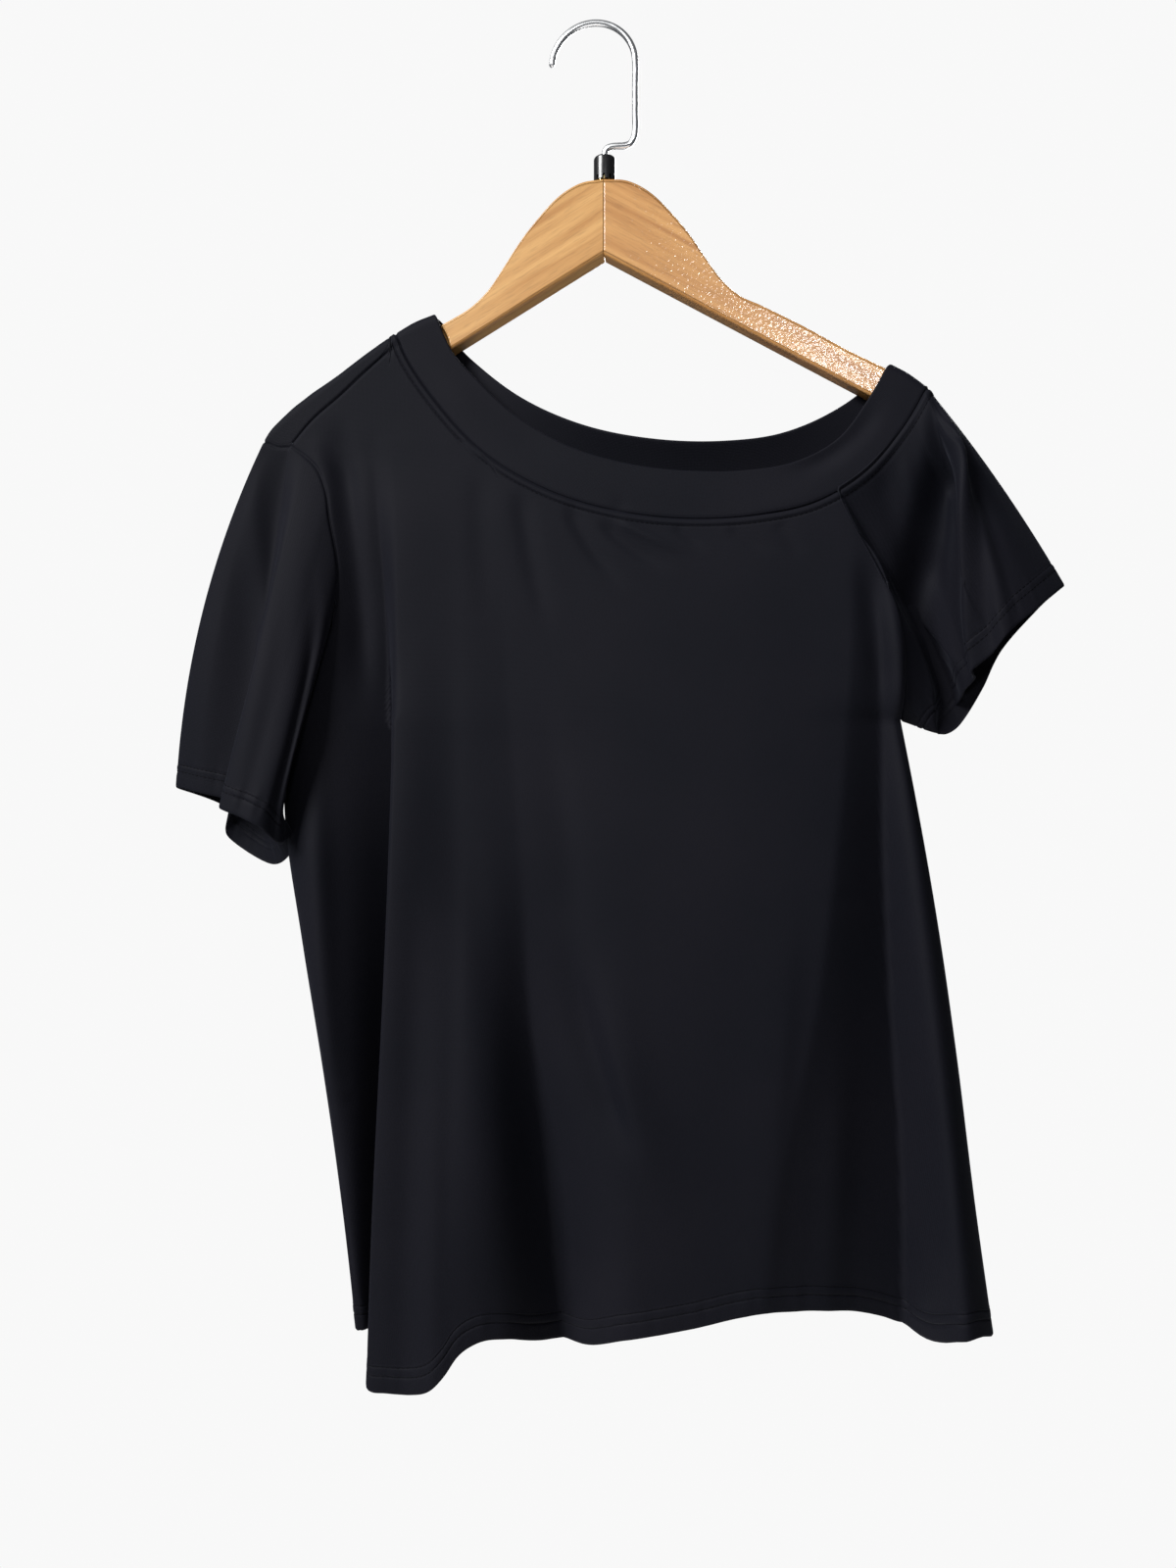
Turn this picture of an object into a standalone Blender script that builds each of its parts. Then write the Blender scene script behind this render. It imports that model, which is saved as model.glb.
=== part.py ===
"""An off-shoulder t-shirt in heavy jersey, hanging from a flat wooden hanger with a wire hook.

World: metres, +Z up, the viewer of the front at -Y. The origin is the inside of the hook's crown.
"Left" and "right" in the names are the viewer's, so the plain set-in sleeve is on the left and the
bare shoulder on the right. Tables are in millimetres and to_mesh turns them into metres.
"""

import math

import bmesh
import bpy
import numpy as np

MM = 0.001

# Cloth
JERSEY_WALL = 1.4
BAND_WALL = 2.2
ARMHOLE_GAP = 0.9
UNDERARM_GAP = 2.0
UNDERARM_GAP_REACH = 34.0
SIDE_SEAM_GAP = 0.9
TOP_SEAM_GAP = 0.8
SHOULDER_SEAM_GAP = 0.6
BAND_SEAM_GAP = 0.6
PANEL_TURN = (0.0, 0.4, 2.0, 5.5, 11.0)
PANEL_TURN_OPEN = (0.0, 3.0, 6.0, 8.5, 11.0)
PANEL_NECK_COLUMNS = (66.5, 71.0, 76.8, 79.2, 83.0)
PANEL_COLUMNS = 23
SHOULDER_ROWS = 9
SHOULDER_ROWS_DEPTH = 16.0
SHOULDER_ROWS_PAST_ARM = 1.0
SHOULDER_SEAM_POINTS = 30
ROWS_ABOVE_UNDERARM = 8
ROWS_BELOW_UNDERARM = 12
BAND_COLUMNS_A_SIDE = 24
BAND_STEPS_OVER_ARM = (0.0, 3.5, 7.0, 10.5, 14.5)
BAND_ROWS = 2
SLEEVE_COLUMNS_A_LINE = 3
SLEEVE_ROWS = 8
TOP_EDGE_PASSES = 40
SEAM_POINTS = 200
ARMHOLE_POINTS = 60
SEAM_CLEARANCE = 1.0
BARE_SHOULDER_FROM_X = 100.0
SIDE_ROUNDNESS = 2.5
UNDERARM_Z = -433.0

# The cloth goes over the hanger's arm as half an ellipse: its rise, and the length of a quarter
OVER_ARM_RISE = 7.5
OVER_ARM_QUARTER = 13.4

# Hanger
HANGER_X = 7.0
BOARD_THICKNESS = 13.0
BOARD_ROUNDING = 2.0
MITRE_GAP = 0.3

# Hook, cap and ferrule
WIRE_RADIUS = 1.9
CROWN_RADIUS = 26.0
HOOK_LEG_END_Z = -66.0
HOOK_SHOULDER_Z = -75.4
CAP_RADIUS = 6.75
CAP_TOP_Z = -82.6
CAP_FOOT_Z = -97.7
CAP_CHAMFER = 1.6
CAP_BORE_RADIUS = 2.3
CAP_SKIRT_RADIUS = 5.5
CAP_SKIRT_HEIGHT = 5.0
SLOT_COUNT = 10
SLOT_WIDTH = 1.5
SLOT_HEIGHT = 2.6
SLOT_DEPTH = 2.0
TURNED_STEPS = 24
CAP_STEPS = 30
FERRULE_RADIUS = 5.1
FERRULE_HEIGHT = 4.4

# Top line of the cloth over the two arms: x, z
CREST_LINE = (
    (-214.0, -262.0),
    (-209.0, -251.0),
    (-196.0, -236.0),
    (-182.0, -225.0),
    (-162.0, -212.0),
    (-145.0, -200.0),
    (-128.0, -189.0),
    (-113.0, -181.0),
    (-100.0, -176.0),
    (176.0, -215.0),
    (191.0, -224.0),
    (199.0, -230.0),
    (205.0, -235.0),
    (214.0, -244.0),
)

# Neckband, front half, from the left arm to the right arm: folded edge x, z, then seam x, z.
# None stands for the crest line's own height.
BAND_FRONT = (
    (-101.0, None, -126.0, None),
    (-88.0, -201.0, -114.0, -209.0),
    (-72.0, -220.0, -95.0, -236.0),
    (-49.0, -242.0, -68.0, -265.0),
    (-15.0, -263.0, -28.0, -290.0),
    (25.0, -276.0, 18.0, -305.0),
    (61.0, -281.0, 62.0, -310.5),
    (94.0, -281.5, 101.0, -309.0),
    (123.0, -277.0, 135.0, -302.0),
    (148.0, -264.0, 164.0, -285.0),
    (166.0, -241.0, 187.0, -258.0),
    (182.0, None, 204.0, None),
)

# Neckband, back half, in the same order
BAND_BACK = (
    (-101.0, None, -126.0, None),
    (-86.0, -194.0, -112.0, -208.0),
    (-72.0, -208.0, -93.0, -229.0),
    (-45.0, -229.0, -60.0, -254.0),
    (-5.0, -248.0, -14.0, -276.0),
    (40.0, -258.0, 37.0, -287.0),
    (80.0, -260.0, 83.0, -289.0),
    (115.0, -256.0, 126.0, -283.0),
    (143.0, -245.0, 161.0, -268.0),
    (163.0, -232.0, 185.0, -250.0),
    (182.0, None, 204.0, None),
)

# Shoulder seam on the front of the left shoulder, from the armhole to the neckband: x, z. It
# meets the neckband on the crest line.
SHOULDER_SEAM = (
    (-191.0, -258.0),
    (-178.0, -243.0),
    (-159.0, -227.0),
    (-142.0, -212.0),
    (-131.0, -199.0),
    (-126.0, None),
)

# Edges of the two panels, downwards: x, z. Above the underarm they are the armhole seams.
FRONT_ARMHOLE_LEFT = (
    (-191.0, -258.0),
    (-177.0, -269.0),
    (-168.0, -286.0),
    (-165.0, -304.0),
    (-160.0, -339.0),
    (-164.0, -366.0),
    (-178.0, -400.0),
    (-203.0, UNDERARM_Z),
)
FRONT_ARMHOLE_RIGHT = (
    (149.0, None),
    (157.0, -313.0),
    (172.0, -341.0),
    (182.0, -362.0),
    (187.0, -385.0),
    (188.0, -408.0),
    (187.0, UNDERARM_Z),
)
BACK_ARMHOLE_LEFT = (
    (-191.0, -192.0),
    (-203.0, -216.0),
    (-209.0, -245.0),
    (-200.0, -266.0),
    (-186.0, -290.0),
    (-174.0, -325.0),
    (-172.0, -360.0),
    (-184.0, -402.0),
    (-203.0, UNDERARM_Z),
)
BACK_ARMHOLE_RIGHT = (
    (149.0, None),
    (160.0, -300.0),
    (172.0, -335.0),
    (182.0, -365.0),
    (187.0, -400.0),
    (187.0, UNDERARM_Z),
)
SIDE_LEFT = (
    (-203.0, UNDERARM_Z),
    (-199.0, -500.0),
    (-187.0, -570.0),
    (-172.0, -650.0),
    (-158.0, -740.0),
    (-148.0, -840.0),
)
SIDE_RIGHT = (
    (187.0, UNDERARM_Z),
    (197.0, -486.0),
    (209.0, -562.0),
    (218.0, -632.0),
    (229.0, -725.0),
    (240.0, -800.0),
)

# The hem, from left to right: x, z
FRONT_HEM = (
    (-148.0, -838.0),
    (-135.0, -840.0),
    (-120.0, -840.0),
    (-95.0, -833.0),
    (-75.0, -819.0),
    (-45.0, -813.0),
    (0.0, -810.0),
    (46.0, -803.0),
    (93.0, -796.0),
    (145.0, -795.0),
    (177.0, -796.0),
    (197.0, -800.0),
    (214.0, -800.0),
    (240.0, -796.0),
)
BACK_HEM = (
    (-148.0, -838.0),
    (-90.0, -820.0),
    (0.0, -808.0),
    (110.0, -798.0),
    (240.0, -796.0),
)

# How the body's tube opens, downwards: z, y of the left edge, y of the right edge, depth of the
# front and of the back from there, and how open the edge is (1 at an armhole, 0 at a side seam)
BODY_DEPTHS = (
    (-170.0, 0.0, 0.0, 9.6, 9.6, 1.0),
    (-250.0, 0.0, 0.0, 9.8, 9.8, 1.0),
    (-300.0, 0.0, 0.0, 13.0, 12.0, 1.0),
    (-350.0, 3.0, 0.0, 16.0, 14.0, 0.8),
    (-400.0, 8.0, 1.0, 20.0, 17.0, 0.55),
    (-424.0, 11.0, 2.0, 23.0, 19.0, 0.28),
    (UNDERARM_Z, 12.0, 2.0, 24.0, 20.0, 0.0),
    (-520.0, 14.0, 4.0, 27.0, 22.0, 0.0),
    (-640.0, 10.0, 6.0, 27.0, 26.0, 0.0),
    (-740.0, 6.0, 8.0, 26.0, 30.0, 0.0),
    (-840.0, 4.0, 8.0, 24.0, 32.0, 0.0),
)

# Folds of the panels: z and x where it starts, x at the hem, height at the hem (towards the
# outside, or inwards where it is below 0), left and right half width at the hem
FRONT_FOLDS = (
    (-380.0, -128.0, -113.0, 46.0, 17.0, 26.0),
    (-340.0, -152.0, -150.0, -9.0, 12.0, 10.0),
    (-520.0, -52.0, -38.0, -9.0, 20.0, 17.0),
    (-450.0, 20.0, 26.0, 6.0, 45.0, 50.0),
    (-470.0, 172.0, 146.0, -25.0, 42.0, 30.0),
    (-480.0, 196.0, 213.0, 19.0, 17.0, 20.0),
)
BACK_FOLDS = (
    (-400.0, -120.0, -100.0, 13.0, 26.0, 30.0),
    (-470.0, -60.0, -42.0, -11.0, 26.0, 26.0),
    (-380.0, 25.0, 28.0, 12.0, 34.0, 36.0),
    (-500.0, 90.0, 98.0, -12.0, 26.0, 26.0),
    (-420.0, 150.0, 168.0, 13.0, 28.0, 26.0),
)

# Sleeves: each row is a line down the sleeve. Columns: where it leaves the armhole (0 and 1 are
# the underarm, going up the front), its place at the hem x, y, z, and how far it bows out on
# its way x, y, z.
LEFT_SLEEVE = (
    (0.00, -190.0, -6.0, -503.0, -12.0, -3.0, 0.0),
    (0.10, -194.0, -21.0, -508.0, 0.0, -8.0, 0.0),
    (0.20, -203.0, -31.0, -498.0, 3.0, -4.0, 0.0),
    (0.32, -215.0, -32.0, -492.0, 2.0, -3.0, 0.0),
    (0.43, -229.0, -23.0, -486.0, 1.0, -5.0, 0.0),
    (0.465, -238.0, -3.0, -481.0, -3.0, -2.0, 2.0),
    (0.49, -258.0, 4.0, -477.0, -9.0, -1.0, 4.0),
    (0.51, -277.0, 14.0, -474.0, -12.0, 2.0, 5.0),
    (0.55, -268.0, 25.0, -484.0, -9.0, 5.0, 3.0),
    (0.68, -242.0, 28.0, -508.0, -6.0, 6.0, 0.0),
    (0.82, -216.0, 22.0, -522.0, -22.0, 9.0, 0.0),
    (0.92, -200.0, 8.0, -516.0, -22.0, 4.0, 0.0),
)
RIGHT_SLEEVE = (
    (0.00, 211.0, 6.0, -441.0, 0.0, 0.0, 0.0),
    (0.12, 214.0, 3.0, -428.0, 1.0, 4.0, 0.0),
    (0.26, 222.0, -2.0, -417.0, 0.0, 9.0, 0.0),
    (0.37, 231.0, -9.0, -407.0, 0.0, 9.0, 0.0),
    (0.44, 237.0, -22.0, -394.0, 2.0, 0.0, 0.0),
    (0.462, 244.0, -28.0, -384.0, 3.0, -6.0, 0.0),
    (0.48, 258.0, -23.0, -372.0, 0.0, -5.0, 0.0),
    (0.49, 272.0, -13.0, -361.0, 2.0, -3.0, 1.0),
    (0.50, 283.0, 2.0, -353.0, 2.0, 0.0, 2.0),
    (0.53, 272.0, 15.0, -364.0, 0.0, 3.0, 0.0),
    (0.64, 252.0, 22.0, -388.0, 0.0, 5.0, 0.0),
    (0.78, 240.0, 20.0, -412.0, 0.0, 4.0, 0.0),
    (0.91, 224.0, 15.0, -436.0, 0.0, 2.0, 0.0),
)

# Outline of the hanger's right half from the top of the mitre, out along the top and back along
# the underside: x from the mitre, z
RIGHT_BOARD = (
    (0.0, -98.0),
    (15.0, -100.0),
    (30.0, -109.0),
    (41.0, -120.5),
    (52.0, -134.0),
    (62.0, -149.0),
    (71.0, -162.0),
    (81.0, -172.0),
    (96.0, -180.0),
    (121.0, -193.5),
    (150.0, -210.5),
    (170.0, -221.0),
    (181.0, -227.0),
    (189.0, -233.0),
    (195.0, -240.0),
    (197.0, -248.0),
    (194.0, -255.0),
    (188.0, -254.0),
    (120.0, -214.0),
    (0.0, -145.0),
)
# The left half, the same way round: its arm is deeper past the notch for straps
LEFT_BOARD = (
    (0.0, -98.0),
    (15.0, -100.0),
    (30.0, -109.0),
    (41.0, -120.5),
    (52.0, -134.0),
    (62.0, -149.0),
    (71.0, -162.0),
    (81.0, -172.0),
    (96.0, -181.0),
    (105.0, -185.5),
    (109.0, -185.5),
    (115.0, -189.5),
    (121.0, -194.0),
    (135.0, -202.0),
    (152.0, -212.0),
    (169.0, -223.5),
    (184.0, -235.0),
    (193.0, -244.5),
    (197.0, -252.0),
    (195.0, -258.5),
    (189.0, -255.5),
    (120.0, -214.0),
    (0.0, -145.0),
)


def clear_scene():
    for thing in list(bpy.data.objects):
        bpy.data.objects.remove(thing)


def new_collection(name, hidden=False):
    collection = bpy.data.collections.new(name)
    collection.hide_render = hidden
    bpy.context.scene.collection.children.link(collection)
    return collection


def material(name, colour, roughness, metallic=0.0):
    made = bpy.data.materials.new(name)
    made.use_nodes = True
    shader = made.node_tree.nodes["Principled BSDF"]
    shader.inputs["Base Color"].default_value = (*colour, 1.0)
    shader.inputs["Roughness"].default_value = roughness
    shader.inputs["Metallic"].default_value = metallic
    return made


def spline(knots, values, at):
    """Smooth curve through the values: each span is a cubic whose end slopes are the mean slopes
    of the two spans that meet there."""
    knots = np.asarray(knots, float)
    values = np.asarray(values, float).reshape(len(knots), -1)
    at = np.clip(np.asarray(at, float), knots[0], knots[-1])
    steps = np.diff(knots)[:, None]
    slopes = np.diff(values, axis=0) / steps
    tangents = np.vstack([slopes[:1], np.zeros((len(knots) - 2, values.shape[1])), slopes[-1:]])
    before, after = steps[:-1], steps[1:]
    tangents[1:-1] = (slopes[:-1] * after + slopes[1:] * before) / (before + after)
    span = np.clip(np.searchsorted(knots, at.ravel(), side="right") - 1, 0, len(knots) - 2)
    width = steps[span]
    s = (at.ravel()[:, None] - knots[span][:, None]) / width
    start = values[span] * (1 + 2 * s) * (1 - s) ** 2 + tangents[span] * width * s * (1 - s) ** 2
    end = values[span + 1] * s**2 * (3 - 2 * s) + tangents[span + 1] * width * s**2 * (s - 1)
    return (start + end).reshape(*at.shape, values.shape[1])


def ring_spline(values, at):
    """The same through a closed ring of evenly numbered values; at runs from 0 to 1."""
    values = np.asarray(values, float)
    count = len(values)
    knots = np.arange(-2, count + 3)
    return spline(knots, values[knots % count], np.asarray(at) * count)


def along(points, count):
    """Points spread evenly by length along a smooth curve through the given ones."""
    points = np.asarray(points, float)
    knots = np.concatenate([[0.0], np.cumsum(np.linalg.norm(np.diff(points, axis=0), axis=1))])
    return spline(knots, points, np.linspace(0.0, knots[-1], count))


def at_fraction(points, fractions):
    """Points of a polyline at fractions of its length."""
    knots = np.concatenate([[0.0], np.cumsum(np.linalg.norm(np.diff(points, axis=0), axis=1))])
    reach = np.asarray(fractions) * knots[-1]
    return np.stack([np.interp(reach, knots, points[:, axis]) for axis in range(3)], axis=-1)


def crest_z(x):
    table = np.asarray(CREST_LINE)
    return spline(table[:, 0], table[:, 1], x)[..., 0]


def crest_height(x):
    """Height of the crest with the cloth unrolled upwards off the arm."""
    return crest_z(x) - OVER_ARM_RISE + OVER_ARM_QUARTER


def edge_x(armhole, side, z):
    """x of a panel's edge at a height: its armhole seam above the underarm, its side seam below."""
    armhole = np.asarray(armhole)
    side = np.asarray(side)
    above = spline(-armhole[:, 1], armhole[:, 0], -z)[..., 0]
    below = spline(-side[:, 1], side[:, 0], -z)[..., 0]
    return np.where(z > UNDERARM_Z, above, below)


def fold_height(folds, x, z, hem_z):
    """Sum of the folds: each swells from its start to the hem, and falls off to both sides as a
    bell whose halves may differ."""
    total = np.zeros_like(x)
    for start_z, start_x, hem_x, height, left_width, right_width in folds:
        growth = np.clip((start_z - z) / (start_z - hem_z), 0.0, 1.1)
        offset = x - (start_x + (hem_x - start_x) * growth)
        width = np.where(offset < 0.0, left_width, right_width) * (1.5 - 0.5 * growth)
        total += height * growth**1.2 * np.exp(-((offset / width) ** 2))
    return total


def sheet_y(across, x, z, side):
    """y of the body's front (side -1) or back (side +1), where across runs from -1 at the left
    edge to 1 at the right one: a flat ellipse with blunt ends, plus the folds."""
    table = np.asarray(BODY_DEPTHS)
    row = spline(-table[:, 0], table[:, 1:], -z)
    left_y, right_y, front, back, opening = np.moveaxis(row, -1, 0)
    opening = np.clip(opening, 0.0, 1.0)
    middle = left_y + (right_y - left_y) * (across + 1.0) / 2.0
    blunt = (1.0 - np.abs(across) ** SIDE_ROUNDNESS) ** (1.0 / SIDE_ROUNDNESS)
    depth = (front if side < 0 else back) * (opening + (1.0 - opening) * blunt)
    folds, hem = (FRONT_FOLDS, FRONT_HEM) if side < 0 else (BACK_FOLDS, BACK_HEM)
    hem = np.asarray(hem)
    hem_z = np.interp(x, hem[:, 0], hem[:, 1])
    return middle + side * (depth + fold_height(folds, x, z, hem_z) * blunt)


def roll(across, x, height, side):
    """Point of the cloth from its place on the unrolled sheet: hanging on its own side of the
    arm, on the half ellipse over the arm, or down on the other side."""
    shoulder = crest_z(x) - OVER_ARM_RISE
    hanging_z = np.minimum(height, shoulder)
    hanging_y = sheet_y(across, x, hanging_z, side)
    turn = np.clip((shoulder + OVER_ARM_QUARTER - height) / OVER_ARM_QUARTER, -1.0, 1.0)
    angle = turn * math.pi / 2.0
    y = np.abs(hanging_y) * np.sin(angle) * side
    z = shoulder + OVER_ARM_RISE * np.cos(angle)
    beyond = np.maximum(height - shoulder - 2.0 * OVER_ARM_QUARTER, 0.0)
    z = np.where(height < shoulder, height, z - beyond)
    y = np.where(height < shoulder, hanging_y, y)
    return np.stack([x, y, z], axis=-1)


def band_table(rows):
    """Folded edge and seam of one half of the neckband on the unrolled sheet: x, height, x, height."""
    filled = []
    for edge_at, edge_z, seam_at, seam_z in rows:
        edge_z = crest_height(np.float64(edge_at)) if edge_z is None else edge_z
        seam_z = crest_height(np.float64(seam_at)) if seam_z is None else seam_z
        filled.append((edge_at, edge_z, seam_at, seam_z))
    return np.asarray(filled, float)


def band_half(rows, count):
    """count stations along half of the neckband, each with the four columns of band_table."""
    table = band_table(rows)
    middle = (table[:, :2] + table[:, 2:]) / 2.0
    knots = np.concatenate([[0.0], np.cumsum(np.linalg.norm(np.diff(middle, axis=0), axis=1))])
    return spline(knots, table, np.linspace(0.0, knots[-1], count))


def body_across(x, z, left, right):
    return np.clip((x - left) / (right - left) * 2.0 - 1.0, -1.0, 1.0)


def aside(points, distance):
    """A flat curve moved sideways, to the left of its own direction, by a distance."""
    slope = np.gradient(points, axis=0)
    slope /= np.linalg.norm(slope, axis=1, keepdims=True)
    return points + distance * np.stack([-slope[:, 1], slope[:, 0]], axis=1)


def armhole(table, band_rows):
    """An armhole's table with its first height, where it starts at the neckband's seam."""
    if table[0][1] is not None:
        return np.asarray(table)
    seam = band_half(band_rows, SEAM_POINTS)[:, 2:]
    right_arm = seam[seam[:, 0] > BARE_SHOULDER_FROM_X]
    height = np.interp(table[0][0], right_arm[:, 0], right_arm[:, 1])
    return np.asarray([(table[0][0], height), *table[1:]])


def pull_in(grid, first_column=0.0, last_column=0.0):
    """Draws the two side edges of a grid of points back along the sheet."""
    grid = grid.copy()
    for place, inner, length in ((0, 1, first_column), (-1, -2, last_column)):
        step = grid[:, inner] - grid[:, place]
        reach = np.linalg.norm(step, axis=-1, keepdims=True)
        grid[:, place] += step * length / reach
    return grid


def to_mesh(name, grid, finish, wall, collection, closed=False):
    """A cloth wall from a grid of points on its outer face; rows go down, columns to the
    right as seen from outside."""
    rows, columns, _ = grid.shape
    index = np.arange(rows * columns).reshape(rows, columns)
    if closed:
        index = np.hstack([index, index[:, :1]])
    faces = np.stack([index[:-1, :-1], index[1:, :-1], index[1:, 1:], index[:-1, 1:]], axis=-1)
    mesh = bpy.data.meshes.new(name)
    mesh.from_pydata((grid.reshape(-1, 3) * MM).tolist(), [], faces.reshape(-1, 4).tolist())
    mesh.shade_smooth()
    made = bpy.data.objects.new(name, mesh)
    made.data.materials.append(finish)
    collection.objects.link(made)
    thickness = made.modifiers.new("Wall", "SOLIDIFY")
    thickness.thickness = wall * MM
    thickness.offset = -1.0
    return made


def panel_grid(side, top, armhole_left, armhole_right, hem):
    """Front or back panel: columns from side to side, close together where the cloth turns in to
    the side seams; rows from the top edge to the hem, close together where it turns over the
    shoulder, with a level row at the underarm. top is the top edge on the unrolled sheet."""
    hem = np.asarray(hem)
    width = hem[-1, 0] - hem[0, 0]
    closed, opened = np.asarray(PANEL_TURN), np.asarray(PANEL_TURN_OPEN)
    middle = np.linspace(closed[-1], width - closed[-1], PANEL_COLUMNS)
    middle = np.sort(np.append(middle, PANEL_NECK_COLUMNS))
    places = np.concatenate([opened[:-1], middle, (width - opened[:-1])[::-1]])
    closing = np.concatenate([closed[:-1], middle, (width - closed[:-1])[::-1]]) - places
    across = places / width * 2.0 - 1.0
    hem_z = spline(hem[:, 0], hem[:, 1], hem[0, 0] + places)[:, 0]

    def across_x(height):
        left = edge_x(armhole_left, SIDE_LEFT, height)
        right = edge_x(armhole_right, SIDE_RIGHT, height)
        return left + (right - left) * (across + 1.0) / 2.0

    top_z = np.full_like(across, top[:, 1].mean())
    for _ in range(TOP_EDGE_PASSES):
        top_z = 0.5 * top_z + 0.5 * np.interp(across_x(top_z), top[:, 0], top[:, 1])
    turned_end = top_z - SHOULDER_ROWS_DEPTH
    for _ in range(TOP_EDGE_PASSES):
        arm_z = crest_z(across_x(turned_end)) - OVER_ARM_RISE
        below_arm = arm_z - SHOULDER_ROWS_PAST_ARM
        turned_end = 0.5 * turned_end + 0.5 * np.minimum(top_z - SHOULDER_ROWS_DEPTH, below_arm)
    levels = [top_z + (turned_end - top_z) * s for s in np.linspace(0.0, 1.0, SHOULDER_ROWS + 1)]
    for s in np.sin(np.linspace(0.0, math.pi / 2.0, ROWS_ABOVE_UNDERARM + 1))[1:]:
        levels.append(turned_end + (UNDERARM_Z - turned_end) * s)
    for s in np.linspace(0.0, 1.0, ROWS_BELOW_UNDERARM + 1)[1:]:
        levels.append(UNDERARM_Z + (hem_z - UNDERARM_Z) * s)
    height = np.asarray(levels)
    left = edge_x(armhole_left, SIDE_LEFT, height)
    right = edge_x(armhole_right, SIDE_RIGHT, height)
    depths = np.asarray(BODY_DEPTHS)
    shut = 1.0 - np.clip(spline(-depths[:, 0], depths[:, -1], -height)[..., 0], 0.0, 1.0)
    across = across + shut * closing / width * 2.0
    x = left + (right - left) * (across + 1.0) / 2.0
    return roll(across, x, height, side)


def top_edge(side, junction):
    """Top edge of a panel on the unrolled sheet: the shoulder seam, which lies on the front, then
    the neckband's seam to where the right armhole starts."""
    seam = aside(band_half(BAND_FRONT if side < 0 else BAND_BACK, SEAM_POINTS)[:, 2:], -TOP_SEAM_GAP)
    shoulder = [(x, crest_height(np.float64(x)) if z is None else z) for x, z in SHOULDER_SEAM]
    shoulder = along(shoulder, SHOULDER_SEAM_POINTS)
    if side > 0:
        shoulder[:, 1] = 2.0 * crest_height(shoulder[:, 0]) - shoulder[:, 1]
    shoulder[:, 1] -= SHOULDER_SEAM_GAP / 2.0
    past_shoulder = seam[:, 0] > shoulder[-1, 0] + SEAM_CLEARANCE
    neck = seam[past_shoulder & (seam[:, 0] < junction[0] - SEAM_CLEARANCE)]
    return np.vstack([shoulder, neck, junction])


def band_grid():
    """Neckband: a closed ring of columns, close together over the arms, with rows from the
    folded edge to the seam."""
    halves = []
    for rows, side in ((BAND_FRONT, -1), (BAND_BACK, 1)):
        table = band_table(rows)
        middle = (table[:, :2] + table[:, 2:]) / 2.0
        knots = np.concatenate([[0.0], np.cumsum(np.linalg.norm(np.diff(middle, axis=0), axis=1))])
        over_arm = np.asarray(BAND_STEPS_OVER_ARM)
        even = np.linspace(over_arm[-1], knots[-1] - over_arm[-1], BAND_COLUMNS_A_SIDE)
        places = np.concatenate([over_arm[:-1], even, (knots[-1] - over_arm[:-1])[::-1]])
        stations = spline(knots, table, places)
        if side > 0:
            stations = stations[::-1]
        stations = stations[:-1]
        width = np.linalg.norm(stations[:, 2:] - stations[:, :2], axis=1)
        share = np.linspace(0.0, 1.0, BAND_ROWS + 1)[:, None] * (1.0 - BAND_SEAM_GAP / width)
        x = stations[:, 0] * (1.0 - share) + stations[:, 2] * share
        height = stations[:, 1] * (1.0 - share) + stations[:, 3] * share
        left = edge_x(armhole(FRONT_ARMHOLE_LEFT, rows), SIDE_LEFT, height)
        right = edge_x(armhole(FRONT_ARMHOLE_RIGHT, BAND_FRONT), SIDE_RIGHT, height)
        halves.append(roll(body_across(x, height, left, right), x, height, side))
    return np.hstack(halves)


def off_the_underarm(ring, direction):
    """Moves a sleeve's start outwards, the more the nearer it is to the underarm."""
    nearness = np.exp(-(((ring[:, 2] - UNDERARM_Z) / UNDERARM_GAP_REACH) ** 2))
    return ring + (UNDERARM_GAP * nearness)[:, None] * np.asarray((direction, 0.0, -0.5))


def left_armhole():
    """Start of the left sleeve, just outside the armhole seam: from the underarm up the front,
    over the crest and down the back."""
    front = aside(along(FRONT_ARMHOLE_LEFT, ARMHOLE_POINTS)[::-1], ARMHOLE_GAP)
    back = aside(along(BACK_ARMHOLE_LEFT, ARMHOLE_POINTS), -ARMHOLE_GAP)
    edge = np.full(ARMHOLE_POINTS, -1.0)
    ring = np.vstack([roll(edge, *front.T, -1), roll(edge, *back.T, 1)[1:]])
    return off_the_underarm(ring, -1.0)


def right_armhole():
    """Start of the right sleeve, just outside its seam: from the underarm up the front to the
    neckband, along the neckband's seam over the crest, and down the back."""
    edge = np.full(ARMHOLE_POINTS, 1.0)
    halves = []
    for table, rows, side in (
        (FRONT_ARMHOLE_RIGHT, BAND_FRONT, -1),
        (BACK_ARMHOLE_RIGHT, BAND_BACK, 1),
    ):
        table = armhole(table, rows)
        seam = band_half(rows, SEAM_POINTS)[:, 2:]
        seam = seam[seam[:, 0] > table[0, 0] + 2.0 * SEAM_CLEARANCE]
        up = aside(along(table, ARMHOLE_POINTS)[::-1], -ARMHOLE_GAP)
        on = aside(seam, -BAND_SEAM_GAP)
        left = edge_x(FRONT_ARMHOLE_LEFT, SIDE_LEFT, on[:, 1])
        right = edge_x(armhole(FRONT_ARMHOLE_RIGHT, BAND_FRONT), SIDE_RIGHT, on[:, 1])
        across = body_across(on[:, 0], on[:, 1], left, right)
        half = np.vstack([roll(edge, *up.T, side), roll(across, *on.T, side)])
        halves.append(half if side < 0 else half[::-1][1:])
    return off_the_underarm(np.vstack(halves), 1.0)


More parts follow.
